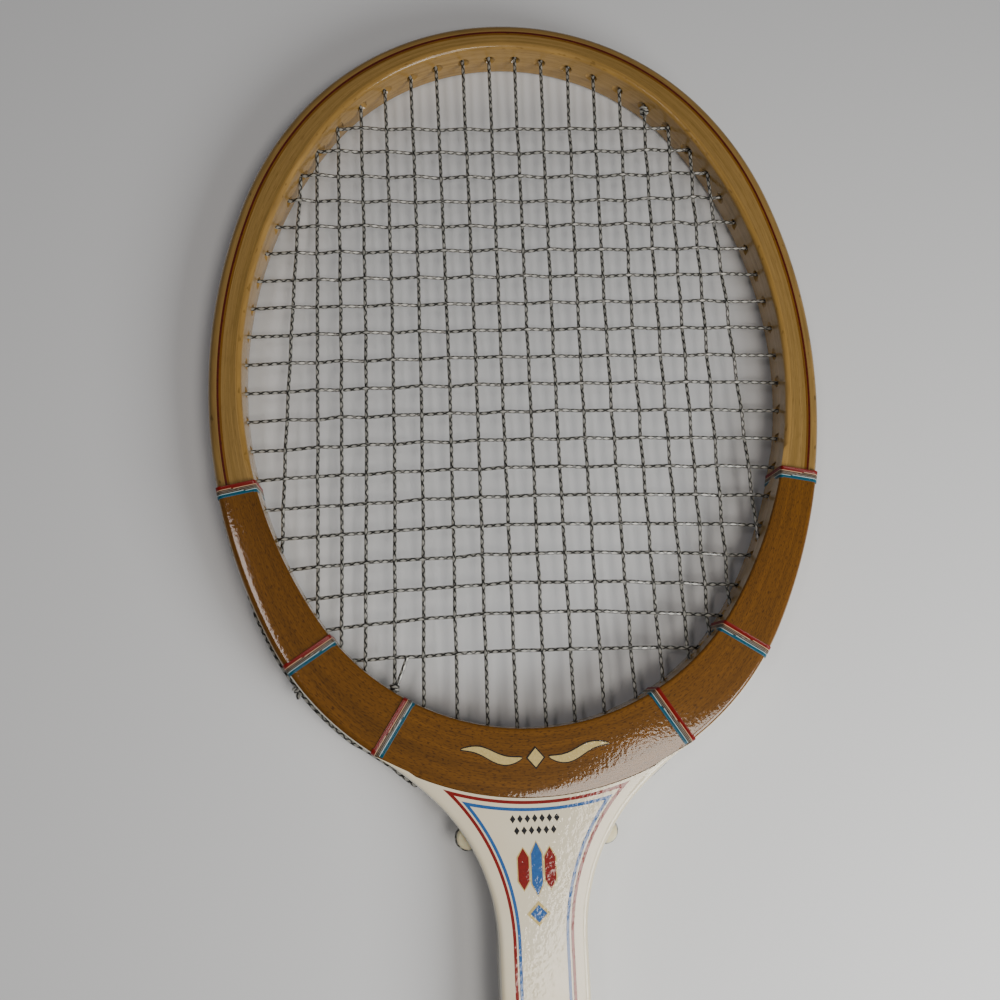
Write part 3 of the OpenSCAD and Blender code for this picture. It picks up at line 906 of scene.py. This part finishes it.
thread_colours = ["7e1009"] * 5 + ["d0b090", "4a301a", "7a7266", "3c2614", "7a7266", "3c2a18",
                                   "b4cccf"] + ["17586f"] * 4
whip_w = 4.6
thread_pitch = whip_w / len(thread_colours)
thread_r = thread_pitch / 2 * 1.04

thread, thread_tree, thread_surface = new_material(
    "bound_thread_lacquered", Roughness=0.5, Specular_IOR_Level=0.2, Coat_Weight=0.5,
    Coat_Roughness=0.25)
turn_share = add_node(thread_tree, "ShaderNodeAttribute", attribute_name="factor").outputs["Fac"]
turn_colours = shades(
    thread_tree, turn_share,
    *[(i / len(thread_colours), code) for i, code in enumerate(thread_colours)],
    interpolation="CONSTANT")
twist_place = add_node(thread_tree, "ShaderNodeAttribute", attribute_name="length").outputs["Fac"]
twist = add_node(thread_tree, "ShaderNodeMath", {0: twist_place, 1: 2 * math.pi / (0.6 * MM)},
                 operation="MULTIPLY")
twist_wave = add_node(thread_tree, "ShaderNodeMath", {0: twist.outputs["Value"]}, operation="SINE")
thread_tree.links.new(turn_colours, thread_surface.inputs["Base Color"])
twist_bump = add_node(thread_tree, "ShaderNodeBump",
                      {"Height": twist_wave.outputs["Value"], "Strength": 0.3,
                       "Distance": 0.02 * MM})
thread_tree.links.new(twist_bump.outputs["Normal"], thread_surface.inputs["Normal"])


def whipping_line(degrees, side):
    """The thread's path: a flat coil round the frame's rounded section."""
    outer, inward, width = across(degrees, side)
    tipward = np.array([inward[1], -inward[0]]) * side
    lift, reach = thread_r + 0.02, overlay_top + thread_r + 0.02
    corners = [(-lift, reach, edge_radius), (-lift, -reach, edge_radius),
               (width + lift, -reach, overlay_radius), (width + lift, reach, overlay_radius)]
    section = []
    for k, (a, z, r) in enumerate(corners):
        inside_a = a + r if a < 0 else a - r
        inside_z = z - math.copysign(r, z)
        start = math.pi / 2 + k * math.pi / 2
        for angle in np.linspace(start, start + math.pi / 2, 6):
            section.append((inside_a + r * math.cos(angle), inside_z + r * math.sin(angle)))
    turns = len(thread_colours)
    line = []
    for i in range(turns * len(section)):
        a, z = section[i % len(section)]
        along = whip_w / 2 - thread_pitch * (i / len(section) + 0.5)
        line.append([*(outer + a * inward + along * tipward), z])
    return line


for level, degrees in zip(("upper", "middle", "lower"), whip_degrees):
    for side_name, side in SIDES:
        whipping = grown(f"{side_name}_{level}_whipping_thread", [whipping_line(degrees, side)],
                         Radius=thread_r * MM, Sides=6, Material=thread)
        fasten(whipping, "whipping_thread", f"{side_name}_{level}_whipping")

# ---- Throat saddles ----------------------------------------------------------------------------
# Cream moulded half rounds pinned to the flanks of the throat, with a groove round the middle in
# which the turn of the inner mains lies. The moulding is satin and a little yellowed.
saddle_h = (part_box("right_throat_saddle")[1].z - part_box("right_throat_saddle")[0].z) / MM
saddle_from, saddle_to = main_lows[1][1], main_lows[2][1]
saddle_r = np.linalg.norm(saddle_to - saddle_from) / 2
along_flank = (saddle_to - saddle_from) / (2 * saddle_r)
off_flank = np.array([along_flank[1], -along_flank[0]])
if off_flank[0] < 0:
    off_flank = -off_flank
saddle_let_in, wall_h = 1.5, 7        # how far it is let in to the flank, and saddle_wall's height
saddle_at = (saddle_from + saddle_to) / 2 - saddle_let_in * off_flank
# (height, radius) up the moulding: rounded rim, groove for the string, rounded rim
saddle_wall = [(-3.5, -1.0), (-3.3, -0.45), (-2.8, -0.1), (-1.2, 0.0), (-0.75, -0.55), (0.0, -0.75),
               (0.75, -0.55), (1.2, 0.0), (2.8, -0.1), (3.3, -0.45), (3.5, -1.0)]

saddle_plastic = mottled("moulded_cream_acetate", 3, 3.0, (0.3, "cfc6a0"), (0.7, "ddd5b2"),
                         skin=(0.8, 0.01), over="Normal", Roughness=0.35, IOR=1.5,
                         Subsurface_Weight=0.15, Subsurface_Scale=1.0 * MM)

for side_name, side in SIDES:
    flat = np.array([side, 1.0])
    rows = []
    for angle in np.linspace(-math.pi / 2 - 0.25, math.pi / 2 + 0.25, 25):
        way = math.sin(angle) * along_flank + math.cos(angle) * off_flank
        rim = [[*((saddle_at + (saddle_r + dr) * way) * flat), main_z + z * saddle_h / wall_h]
               for z, dr in saddle_wall]
        hub = [[*(saddle_at * flat), main_z + z] for z in (saddle_h / 2, -saddle_h / 2)]
        rows.append(rim + hub)
    saddle = add_piece(side_name + "_saddle_moulding", shell(rows, np.arange(25.0)), saddle_plastic)
    fasten(saddle, "saddle_plastic", side_name + "_throat_saddle")

# ---- Strings -----------------------------------------------------------------------------------
# Clear nylon, 1.4 mm thick, with two black threads spiralling round the core. Eighteen mains and
# twenty crosses are woven over and under, turn outside the frame and are tied off with knots.
spiral_pitch, spiral_w = 7.0, 0.55    # of one black thread
nylon, nylon_tree, nylon_surface = new_material(
    "clear_nylon_black_spiral", Roughness=0.3, IOR=1.5, Coat_Weight=0.2, Coat_Roughness=0.15)
string_length = add_node(nylon_tree, "ShaderNodeAttribute", attribute_name="length").outputs["Fac"]
way_round = add_node(nylon_tree, "ShaderNodeAttribute", attribute_name="around").outputs["Vector"]
way = add_node(nylon_tree, "ShaderNodeSeparateXYZ", {"Vector": way_round})
angle_node = add_node(nylon_tree, "ShaderNodeMath", {0: way.outputs["Y"], 1: way.outputs["X"]},
                      operation="ARCTAN2")
turn_round = add_node(nylon_tree, "ShaderNodeMath",
                      {0: angle_node.outputs["Value"], 1: 2 * math.pi}, operation="DIVIDE")
turns_along = add_node(nylon_tree, "ShaderNodeMath", {0: string_length, 1: spiral_pitch * MM},
                       operation="DIVIDE")
nylon_place = add_node(nylon_tree, "ShaderNodeTexCoord").outputs["Object"]
haze = add_node(nylon_tree, "ShaderNodeTexNoise",
                {"Vector": nylon_place, "Scale": 1 / (4 * MM), "Detail": 2.0}).outputs["Fac"]
string_colour = shades(nylon_tree, haze, (0.3, "8e8e88"), (0.7, "a8a8a2"))
# Two threads wind one way; through the clear core they show again, winding the other way. A
# slow drift of one pair keeps the pattern from being perfectly regular.
drift = add_node(nylon_tree, "ShaderNodeTexNoise",
                 {"Vector": nylon_place, "Scale": 1 / (14 * MM), "Detail": 1.0}).outputs["Fac"]
drifted = add_node(nylon_tree, "ShaderNodeMath", {0: drift, 1: 0.7, 2: turn_round.outputs["Value"]},
                   operation="MULTIPLY_ADD")
thread_half = spiral_w / (2 * math.pi * string_r) / 2
for operation, round_by, strength in (("SUBTRACT", turn_round, 0.9), ("ADD", drifted, 1.0)):
    phase = add_node(nylon_tree, "ShaderNodeMath",
                     {0: turns_along.outputs["Value"], 1: round_by.outputs["Value"]},
                     operation=operation)
    half_turns = add_node(nylon_tree, "ShaderNodeMath", {0: phase.outputs["Value"], 1: 0.25},
                          operation="PINGPONG")
    inked = add_node(nylon_tree, "ShaderNodeMapRange",
                     {"Value": half_turns.outputs["Value"], "From Min": thread_half,
                      "From Max": thread_half * 1.5, "To Min": strength, "To Max": 0.0})
    string_colour = add_node(nylon_tree, "ShaderNodeMix",
                             {"Factor": inked.outputs["Result"], "A": string_colour,
                              "B": hex_colour("070708")}, data_type="RGBA").outputs["Result"]
nylon_tree.links.new(string_colour, nylon_surface.inputs["Base Color"])

rng = np.random.default_rng(7)
weave_samples = 7
main_lines = []                       # from left to right, each (upper mouth, lower mouth)
for side in (-1, 1):
    order = range(half_mains)[::side]
    main_lines += [(main_tops[i][0] * [side, 1], main_lows[i][0] * [side, 1]) for i in order]


def woven(start, end, marks, end_z, bow_d):
    """A string from start to end through marks of (share of the way, height, sideways shift),
    bowed sideways by bow_d in the middle."""
    stations = np.array([(0.0, end_z, 0.0), *marks, (1.0, end_z, 0.0)])
    across = np.array([start[1] - end[1], end[0] - start[0]]) / np.linalg.norm(end - start)
    line = []
    for (u0, z0, h0), (u1, z1, h1) in zip(stations, stations[1:]):
        for k in range(weave_samples):
            ease = (1 - math.cos(math.pi * k / weave_samples)) / 2
            u = u0 + (u1 - u0) * k / weave_samples
            aside = h0 + (h1 - h0) * ease + bow_d * math.sin(math.pi * u)
            line.append([*(start + u * (end - start) + aside * across), z0 + (z1 - z0) * ease])
    return line + [[*end, end_z]]


wobble = 0.12                         # how far a string strays sideways at a crossing
woven_mains, woven_crosses = [], []
cross_marks = [[] for _ in cross_ends]
# The upper crosses bow a little towards the handle and the lower ones towards the tip
cross_bow = [-1.6 * math.sin(math.pi * (c + 1) / 6) if c < 5 else 0.3 * (c - 5)
             for c in range(cross_count - 1)] + [1.2]
for m, (top, low) in enumerate(main_lines):
    marks = []
    from_centre = abs(m - half_mains + 0.5) - 0.5
    main_bow = 1.5 * math.sin(math.pi * from_centre / 7) * (1 if m >= half_mains else -1)
    for c, (wall, _) in enumerate(cross_ends):
        y = wall[1]
        for _ in range(3):
            share = (top[1] - y) / (top[1] - low[1])
            if not 0.01 < share < 0.99:
                break
            x = top[0] + share * (low[0] - top[0]) - main_bow * math.sin(math.pi * share)
            reach = (x + wall[0]) / (2 * wall[0])
            if not 0.01 < reach < 0.99:
                break
            y = wall[1] + cross_bow[c] * math.sin(math.pi * reach)
        else:
            over = string_r if (m + c) % 2 == 0 else -string_r
            marks.append((share, over, rng.normal(0, wobble * 0.6)))
            cross_marks[c].append((reach, -over, rng.normal(0, wobble)))
    woven_mains.append(woven(top, low, marks, main_z, -main_bow))
for c, ((wall, _), marks) in enumerate(zip(cross_ends, cross_marks)):
    woven_crosses.append(woven(wall * MIRROR, wall, marks, cross_z, cross_bow[c]))


def strung(name, lines, node_name):
    """Draws nylon along lines as the piece for a CAD node."""
    string = grown(name, lines, Radius=string_r * MM, Sides=8, Material=nylon)
    fasten(string, "string_nylon", node_name)


strung("woven_mains", woven_mains, "main_strings")
strung("woven_crosses", woven_crosses, "cross_strings")


def rounded(points, radius=1.3):
    """A line with its corners rounded."""
    points = np.array(points, float)
    line = [points[0]]
    for before, corner, after in zip(points, points[1:], points[2:]):
        into, out = before - corner, after - corner
        reach = min(radius, np.linalg.norm(into) * 0.45, np.linalg.norm(out) * 0.45)
        a = corner + into / np.linalg.norm(into) * reach
        b = corner + out / np.linalg.norm(out) * reach
        line += [(1 - t) ** 2 * a + 2 * t * (1 - t) * corner + t ** 2 * b
                 for t in np.linspace(0, 1, 5)]
    return line + [points[-1]]


def laid(route, z, side=1):
    """A route over the right half, at height z on one side."""
    return [[p[0] * side, p[1], z] for p in route]


def string_turns(ends, firsts, z, side):
    """Turns that come out of one hole, run along the frame and go back through the next."""
    return [rounded(laid([ends[i][0], ends[i][1], ends[i + 1][1], ends[i + 1][0]], z, side))
            for i in firsts]


saddle_arc = [saddle_at + saddle_r * (math.sin(a) * along_flank + math.cos(a) * off_flank)
              for a in np.linspace(-math.pi / 2, math.pi / 2, 17)]
centre_x, centre_mouth_y = main_low_x[0], main_lows[0][0][1]
main_turns = [rounded(laid([(-centre_x, centre_mouth_y), (-centre_x, centre_turn_y),
                            (centre_x, centre_turn_y), (centre_x, centre_mouth_y)], main_z))]
for side in (-1, 1):
    main_turns += string_turns(main_tops, (0, 2, 4, 6), main_z, side)
    main_turns += string_turns(main_lows, (3, 5, 7), main_z, side)
    main_turns += [laid(main_tops[-1], main_z, side),
                   laid([main_lows[1][0], *saddle_arc, main_lows[2][0]], main_z, side)]
cross_turns = string_turns(cross_ends, range(0, cross_count - 1, 2), cross_z, 1)
cross_turns += string_turns(cross_ends, range(1, cross_count - 2, 2), cross_z, -1)
cross_turns += [laid(cross_ends[i], cross_z, -1) for i in (0, cross_count - 1)]

# On the left shoulder the last string leaves its hole, runs on over the others against the side
# of the frame, and goes in at the hole where it is tied off
run_from, run_to = length_at(head, 113.5), length_at(head, 142)
tie_run = [[*spot(head, -s, -1.1)[0], main_z] for s in np.linspace(run_from, run_to, 40)]
tie_end = main_lows[4][1] * MIRROR
tie_mouth = main_lows[4][0] * MIRROR
tie_z = main_z + 0.4                  # above the string that already fills the hole
tie_line = [[*spot(head, 4 - run_from, 3.0)[0], main_z],
            [*spot(head, 1 - run_from, -0.9)[0], main_z], *tie_run,
            [*spot(head, -run_to - 5, -0.5)[0], main_z], [*tie_end, tie_z], [*tie_mouth, tie_z]]
strung("main_turns_outside", main_turns + [tie_line], "main_string_turns")
strung("cross_turns_outside", cross_turns, "cross_string_turns")

# Each knot is a few tight turns round its string with a cut tail
knot_turns, knot_r, knot_rise, knot_steps = 2.0, 1.2, 1.15, 36


def knot(at, along, tail, tail_way):
    """A short coil round the line from at towards along, ending in a tail."""
    along = np.array(along) / np.linalg.norm(along)
    aside = np.cross(along, [0, 0, 1.0])
    up = np.cross(aside, along)
    line = []
    for k in range(knot_steps + 1):
        angle = 2 * math.pi * knot_turns * k / knot_steps
        line.append(np.array(at) + along * (knot_turns * knot_rise * k / knot_steps)
                    + knot_r * (math.cos(angle) * aside + math.sin(angle) * up))
    way = np.array(tail_way) / np.linalg.norm(tail_way)
    return line + [line[-1] + way * step for step in np.linspace(0.8, tail, 6)]


upper_mouth = np.array([*main_tops[5][0], main_z])
lower_mouth = np.array([*tie_mouth, main_z])
down_main = np.array([*(main_lows[5][0] - main_tops[5][0]), 0.0])
up_main = np.array([*((main_tops[4][0] - main_lows[4][0]) * MIRROR), 0.0])
up_main /= np.linalg.norm(up_main)
down_main /= np.linalg.norm(down_main)
run_spot, run_next = np.array(tie_run[20:22])      # half way along the run
run_way = run_next - run_spot
knots = [knot(upper_mouth + down_main * 0.8, down_main, 2.5, (0.5, -0.8, 0.3)),
         knot(lower_mouth + up_main * 0.8, up_main, 10.0, (0.36, 0.93, 0.12)),
         knot(run_spot, run_way, 1.8, (0.3, -1.0, 0.3))]
strung("tie_off_knots", knots, "string_knots")

# ---- Handle scales -----------------------------------------------------------------------------
# Bevelled slabs glued to the front and the back of the shaft to make it up to the eight-sided
# handle, painted white with the facings. Their edges are sanded a little round.


def softened(name, node_name, width_mm, material):
    """A copy of a CAD solid with its edges rounded."""
    def soften(work):
        bmesh.ops.remove_doubles(work, verts=work.verts, dist=0.01 * MM)
        bmesh.ops.dissolve_limit(work, angle_limit=math.radians(1), verts=work.verts,
                                 edges=work.edges)
        edges = [e for e in work.edges
                 if len(e.link_faces) == 2 and e.calc_face_angle(0) > math.radians(25)]
        bmesh.ops.bevel(work, geom=edges, offset=width_mm * MM, segments=3, profile=0.5,
                        affect="EDGES", clamp_overlap=True)

    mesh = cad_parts[node_name].data.copy()
    rework(mesh, soften)
    return add_piece(name, mesh, material)


for face_name, _ in FACES:
    scale = softened(face_name + "_scale_painted", face_name + "_handle_scale", 0.5, white)
    fasten(scale, "white_lacquer", face_name + "_handle_scale")

# ---- Leather grip ------------------------------------------------------------------------------
# A calfskin strip wound up the handle in a spiral from the butt, each turn lapping the one below,
# with a row of small holes along its middle. Dark brown, waxy, lighter where hands have worn it.
grip_low, grip_high = (corner.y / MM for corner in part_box("leather_grip"))
handle_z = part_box("front_handle_scale")[1].z / MM
handle_bevel, lap_pitch, lap_w, leather_t, lap_step = 5.0, 24.0, 3.0, 1.5, 0.75
leather_sink = 0.1                    # keeps the wound strip inside the solid it stands for


def octagon_radius(angle, grow):
    """Distance from the handle's axis to its eight-sided surface, corners slightly rounded."""
    half_w, half_h = half_shaft + grow, handle_z + grow
    c, s = abs(math.cos(angle)), abs(math.sin(angle))
    corner = half_w + half_h - (handle_bevel + grow * (2 - math.sqrt(2)))
    limits = np.array([half_w / max(c, 1e-9), half_h / max(s, 1e-9), corner / (c + s)])
    sharp, refit = 14.0, 1.012        # how crisp the corners are, and what they lose made good
    return float(np.sum(limits ** -sharp) ** (-1 / sharp)) * refit


def lap_height(share):
    """Height of the leather over one pitch: it rises over the lap and drops at its edge."""
    lap = lap_w / lap_pitch
    if share < lap:
        return leather_t
    return leather_t - lap_step + lap_step * ((share - lap) / (1 - lap)) ** 3


def round_axis(section, count):
    """A closed shell round the handle's axis. section(turn) lists (radius, height) there."""
    rows = []
    for k in range(count):
        angle = 2 * math.pi * k / count
        rows.append([[r * math.cos(angle), y, r * math.sin(angle)] for r, y in section(k / count)])
    return shell(rows, np.arange(count + 1.0), loop=True)


def grip_section(turn):
    """Up the outside of the wound strip, and back down the handle under it."""
    angle = 2 * math.pi * turn
    heights = np.arange(grip_low, grip_high + 0.01, 0.8)
    outside = [(octagon_radius(angle, lap_height(((y - grip_low) / lap_pitch + turn) % 1.0)
                               - leather_sink), y) for y in heights]
    return outside + [(octagon_radius(angle, 0.0), y) for y in (heights[-1], grip_low)]


leather, leather_tree, leather_surface = new_material(
    "waxed_calfskin", Roughness=0.5, IOR=1.45, Coat_Weight=0.15, Coat_Roughness=0.35)
hide_place = add_node(leather_tree, "ShaderNodeTexCoord").outputs["Object"]
hide_cells = add_node(leather_tree, "ShaderNodeTexVoronoi",
                      {"Vector": hide_place, "Scale": 1 / (0.9 * MM)}, feature="DISTANCE_TO_EDGE")
wear = add_node(leather_tree, "ShaderNodeTexNoise",
                {"Vector": hide_place, "Scale": 1 / (18 * MM), "Detail": 5.0})
hide_colour = shades(leather_tree, wear.outputs["Fac"], (0.3, "2a170d"), (0.55, "3d2415"),
                     (0.8, "5a3822"))
# The creases between the grain's cells are painted darker: painted shade in the creases
crease_shade = add_node(leather_tree, "ShaderNodeMapRange",
                  {"Value": hide_cells.outputs["Distance"], "From Min": 0.0, "From Max": 0.12,
                   "To Min": 0.55, "To Max": 1.0})
hide_with_crease_shade = add_node(leather_tree, "ShaderNodeVectorMath",
                      {0: hide_colour, "Scale": crease_shade.outputs["Result"]}, operation="SCALE")
leather_tree.links.new(hide_with_crease_shade.outputs["Vector"], leather_surface.inputs["Base Color"])
hide_bump = add_node(leather_tree, "ShaderNodeBump",
                     {"Height": hide_cells.outputs["Distance"], "Strength": 0.5,
                      "Distance": 0.15 * MM})
leather_tree.links.new(hide_bump.outputs["Normal"], leather_surface.inputs["Normal"])
fasten(add_piece("leather_grip_wound", round_axis(grip_section, 96), leather), "grip_leather",
       "leather_grip")

# Small round holes punched along the middle of the strip, as shallow cups painted near black:
# painted shade inside the holes
hole_pitch, punch_r, mid_strip = 8.0, 0.75, 0.56
handle_r = 17                         # mean radius, which sets how many holes go round
punches = []
spiral_turns = (grip_high - grip_low) / lap_pitch
for share in np.arange(0.35, spiral_turns - 1.0, hole_pitch / (2 * math.pi * handle_r)):
    angle = -2 * math.pi * (share % 1.0)
    y = grip_low + lap_pitch * (share + mid_strip)
    if y > grip_high - 3:
        break
    r = octagon_radius(angle, lap_height(mid_strip) - leather_sink)
    out = np.array([math.cos(angle), 0.0, math.sin(angle)])
    punches.append([out * (r - 0.5) + [0, y, 0], out * (r + 0.02) + [0, y, 0]])
# The cups' near-black colour is painted shade in the holes, not the leather's own colour
punched = mottled("punched_holes_painted_shade", 0.4, 2.0, (0.3, "0a0604"), (0.7, "160d08"), Roughness=0.9)
fasten(grown("grip_punch_holes", punches, Radius=punch_r * MM, Sides=12, Material=punched),
       "grip_leather")

# ---- Grip collar -------------------------------------------------------------------------------
# A short ring of black rubber, moulded with two ribs. It is stretched over the handle and holds
# down the top end of the leather.
collar_low, collar_high = (corner.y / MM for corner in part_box("grip_collar"))
# (share of its length, thickness) up the ring: two ribs with a waist between them
collar_profile = [(0.0, 0.3), (0.03, 1.1), (0.1, 1.7), (0.22, 1.9), (0.34, 1.7), (0.42, 1.3),
                  (0.5, 1.3), (0.58, 1.7), (0.7, 1.9), (0.82, 1.9), (0.93, 1.5), (0.98, 0.9),
                  (1.0, 0.2)]


def collar_section(turn):
    """Up the outside of the collar from its foot to its lip."""
    return [(octagon_radius(2 * math.pi * turn, grow),
             collar_low + share * (collar_high - collar_low)) for share, grow in collar_profile]


rubber = mottled("moulded_black_rubber", 2.5, 4.0, (0.3, "121212"), (0.7, "1d1c1b"),
                 skin=(0.4, 0.02), over="Normal", Roughness=0.62, IOR=1.5)
fasten(add_piece("grip_collar_rubber", round_axis(collar_section, 96), rubber), "collar_rubber",
       "grip_collar")

# ---- Butt cap, disc and nails ------------------------------------------------------------------
# A moulded cream cap pushed over the foot of the handle, held by two nails that a thin brass disc
# covers. The disc is plain, turned, with a fine rim.
cap_plastic = mottled("moulded_cream_cap", 9, 4.0, (0.3, "c9c2ae"), (0.7, "d8d2c0"),
                      skin=(0.5, 0.02), over="Normal", Roughness=0.45, IOR=1.5)
fasten(softened("butt_cap_moulded", "butt_cap", 0.6, cap_plastic), "cap_plastic", "butt_cap")

brass, brass_tree, brass_surface = new_material("turned_brass", Metallic=1.0, Roughness=0.28)
disc_place = add_node(brass_tree, "ShaderNodeTexCoord").outputs["Object"]
disc_flat = add_node(brass_tree, "ShaderNodeVectorMath", {0: disc_place, 1: (1.0, 0.0, 1.0)},
                     operation="MULTIPLY")
disc_from_axis = add_node(brass_tree, "ShaderNodeVectorMath", {0: disc_flat.outputs["Vector"]},
                          operation="LENGTH")
turning = add_node(brass_tree, "ShaderNodeTexNoise",
                   {"W": disc_from_axis.outputs["Value"], "Scale": 1 / (0.15 * MM), "Detail": 3.0},
                   noise_dimensions="1D")
brass_tree.links.new(shades(brass_tree, turning.outputs["Fac"], (0.3, "a8823c"), (0.7, "c49d52")),
                     brass_surface.inputs["Base Color"])
disc_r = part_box("butt_disc")[1].x / MM
disc_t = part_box("butt_disc")[1].y / MM
disc_section = [(0.0, 0.12), (disc_r - 1.6, 0.12), (disc_r - 1.3, 0.0), (disc_r - 0.3, 0.0),
                (disc_r, 0.25), (disc_r, disc_t), (0.0, disc_t)]
disc = add_piece("butt_disc_turned", round_axis(lambda turn: disc_section, 64), brass)
fasten(disc, "disc_brass", "butt_disc")

finish_node("butt_nails", mottled("drawn_nail_steel", 0.5, 2.0, (0.3, "8d8d8a"), (0.7, "a9a9a6"),
                                  Metallic=1.0, Roughness=0.35))

# ---- Floor and light ---------------------------------------------------------------------------
# The racket lies on its back on a plain pale floor, touching it with the butt cap and the tip of
# the head. Soft light comes from a window panel high on the right, a lower one beside it, a small
# one on the left and an even pale surround.
for cutter in drills:
    bpy.data.objects.remove(cutter)
cap_low, cap_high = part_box("butt_cap")
floor_slope = (-half_t - cap_low.z / MM) / (tip_y - cap_high.y / MM)
floor_half, floor_gap = 3000.0, 0.1
corners = [(x, y, cap_low.z / MM - floor_gap + floor_slope * (y - cap_high.y / MM))
           for x, y in ((-floor_half, -floor_half), (floor_half, -floor_half),
                        (floor_half, floor_half), (-floor_half, floor_half))]
floor = linked("floor", mesh_of(corners, [(0, 1, 2, 3)]))
floor.data.materials.append(
    new_material("pale_floor", Base_Color=hex_colour("dcdfe3"), Roughness=0.6)[0])


def panel(name, at, towards, turn, size, power, code):
    """A soft rectangular lamp at a point in mm, facing another and turned about that line."""
    lamp = bpy.data.lights.new(name, "AREA")
    lamp.shape = "RECTANGLE"
    lamp.size, lamp.size_y = size[0] * MM, size[1] * MM
    lamp.energy = power
    lamp.color = hex_colour(code)[:3]
    holder = linked(name, lamp)
    way = np.array(towards, float) - np.array(at, float)
    holder.matrix_world = (Matrix.Translation(np.array(at) * MM) @ track(way)
                           @ Matrix.Rotation(math.radians(turn), 4, "Z"))


def track(way):
    """The rotation that turns a lamp's -Z to a direction and keeps its X level."""
    back = -way / np.linalg.norm(way)
    right = np.cross([0.0, 1.0, 0.0], back)
    right /= np.linalg.norm(right)
    up = np.cross(back, right)
    return Matrix([[*row, 0.0] for row in np.column_stack([right, up, back])] + [[0, 0, 0, 1.0]])


panel("window_right", (268, 146, 1000), (268, 146, 0), -24.7, (300, 400), 4.3, "fff6ea")
panel("window_left", (-380, 517, 1000), (-380, 517, 0), 0, (140, 224), 1.0, "fff2ec")
panel("room_right", (400, 80, 360), (0, 420, 0), 0, (320, 320), 4.0, "fdfbf6")
world = bpy.data.worlds.new("surround")
world.use_nodes = True
world.node_tree.nodes["Background"].inputs["Color"].default_value = hex_colour("e6ebf2")
world.node_tree.nodes["Background"].inputs["Strength"].default_value = 0.12
bpy.context.scene.world = world
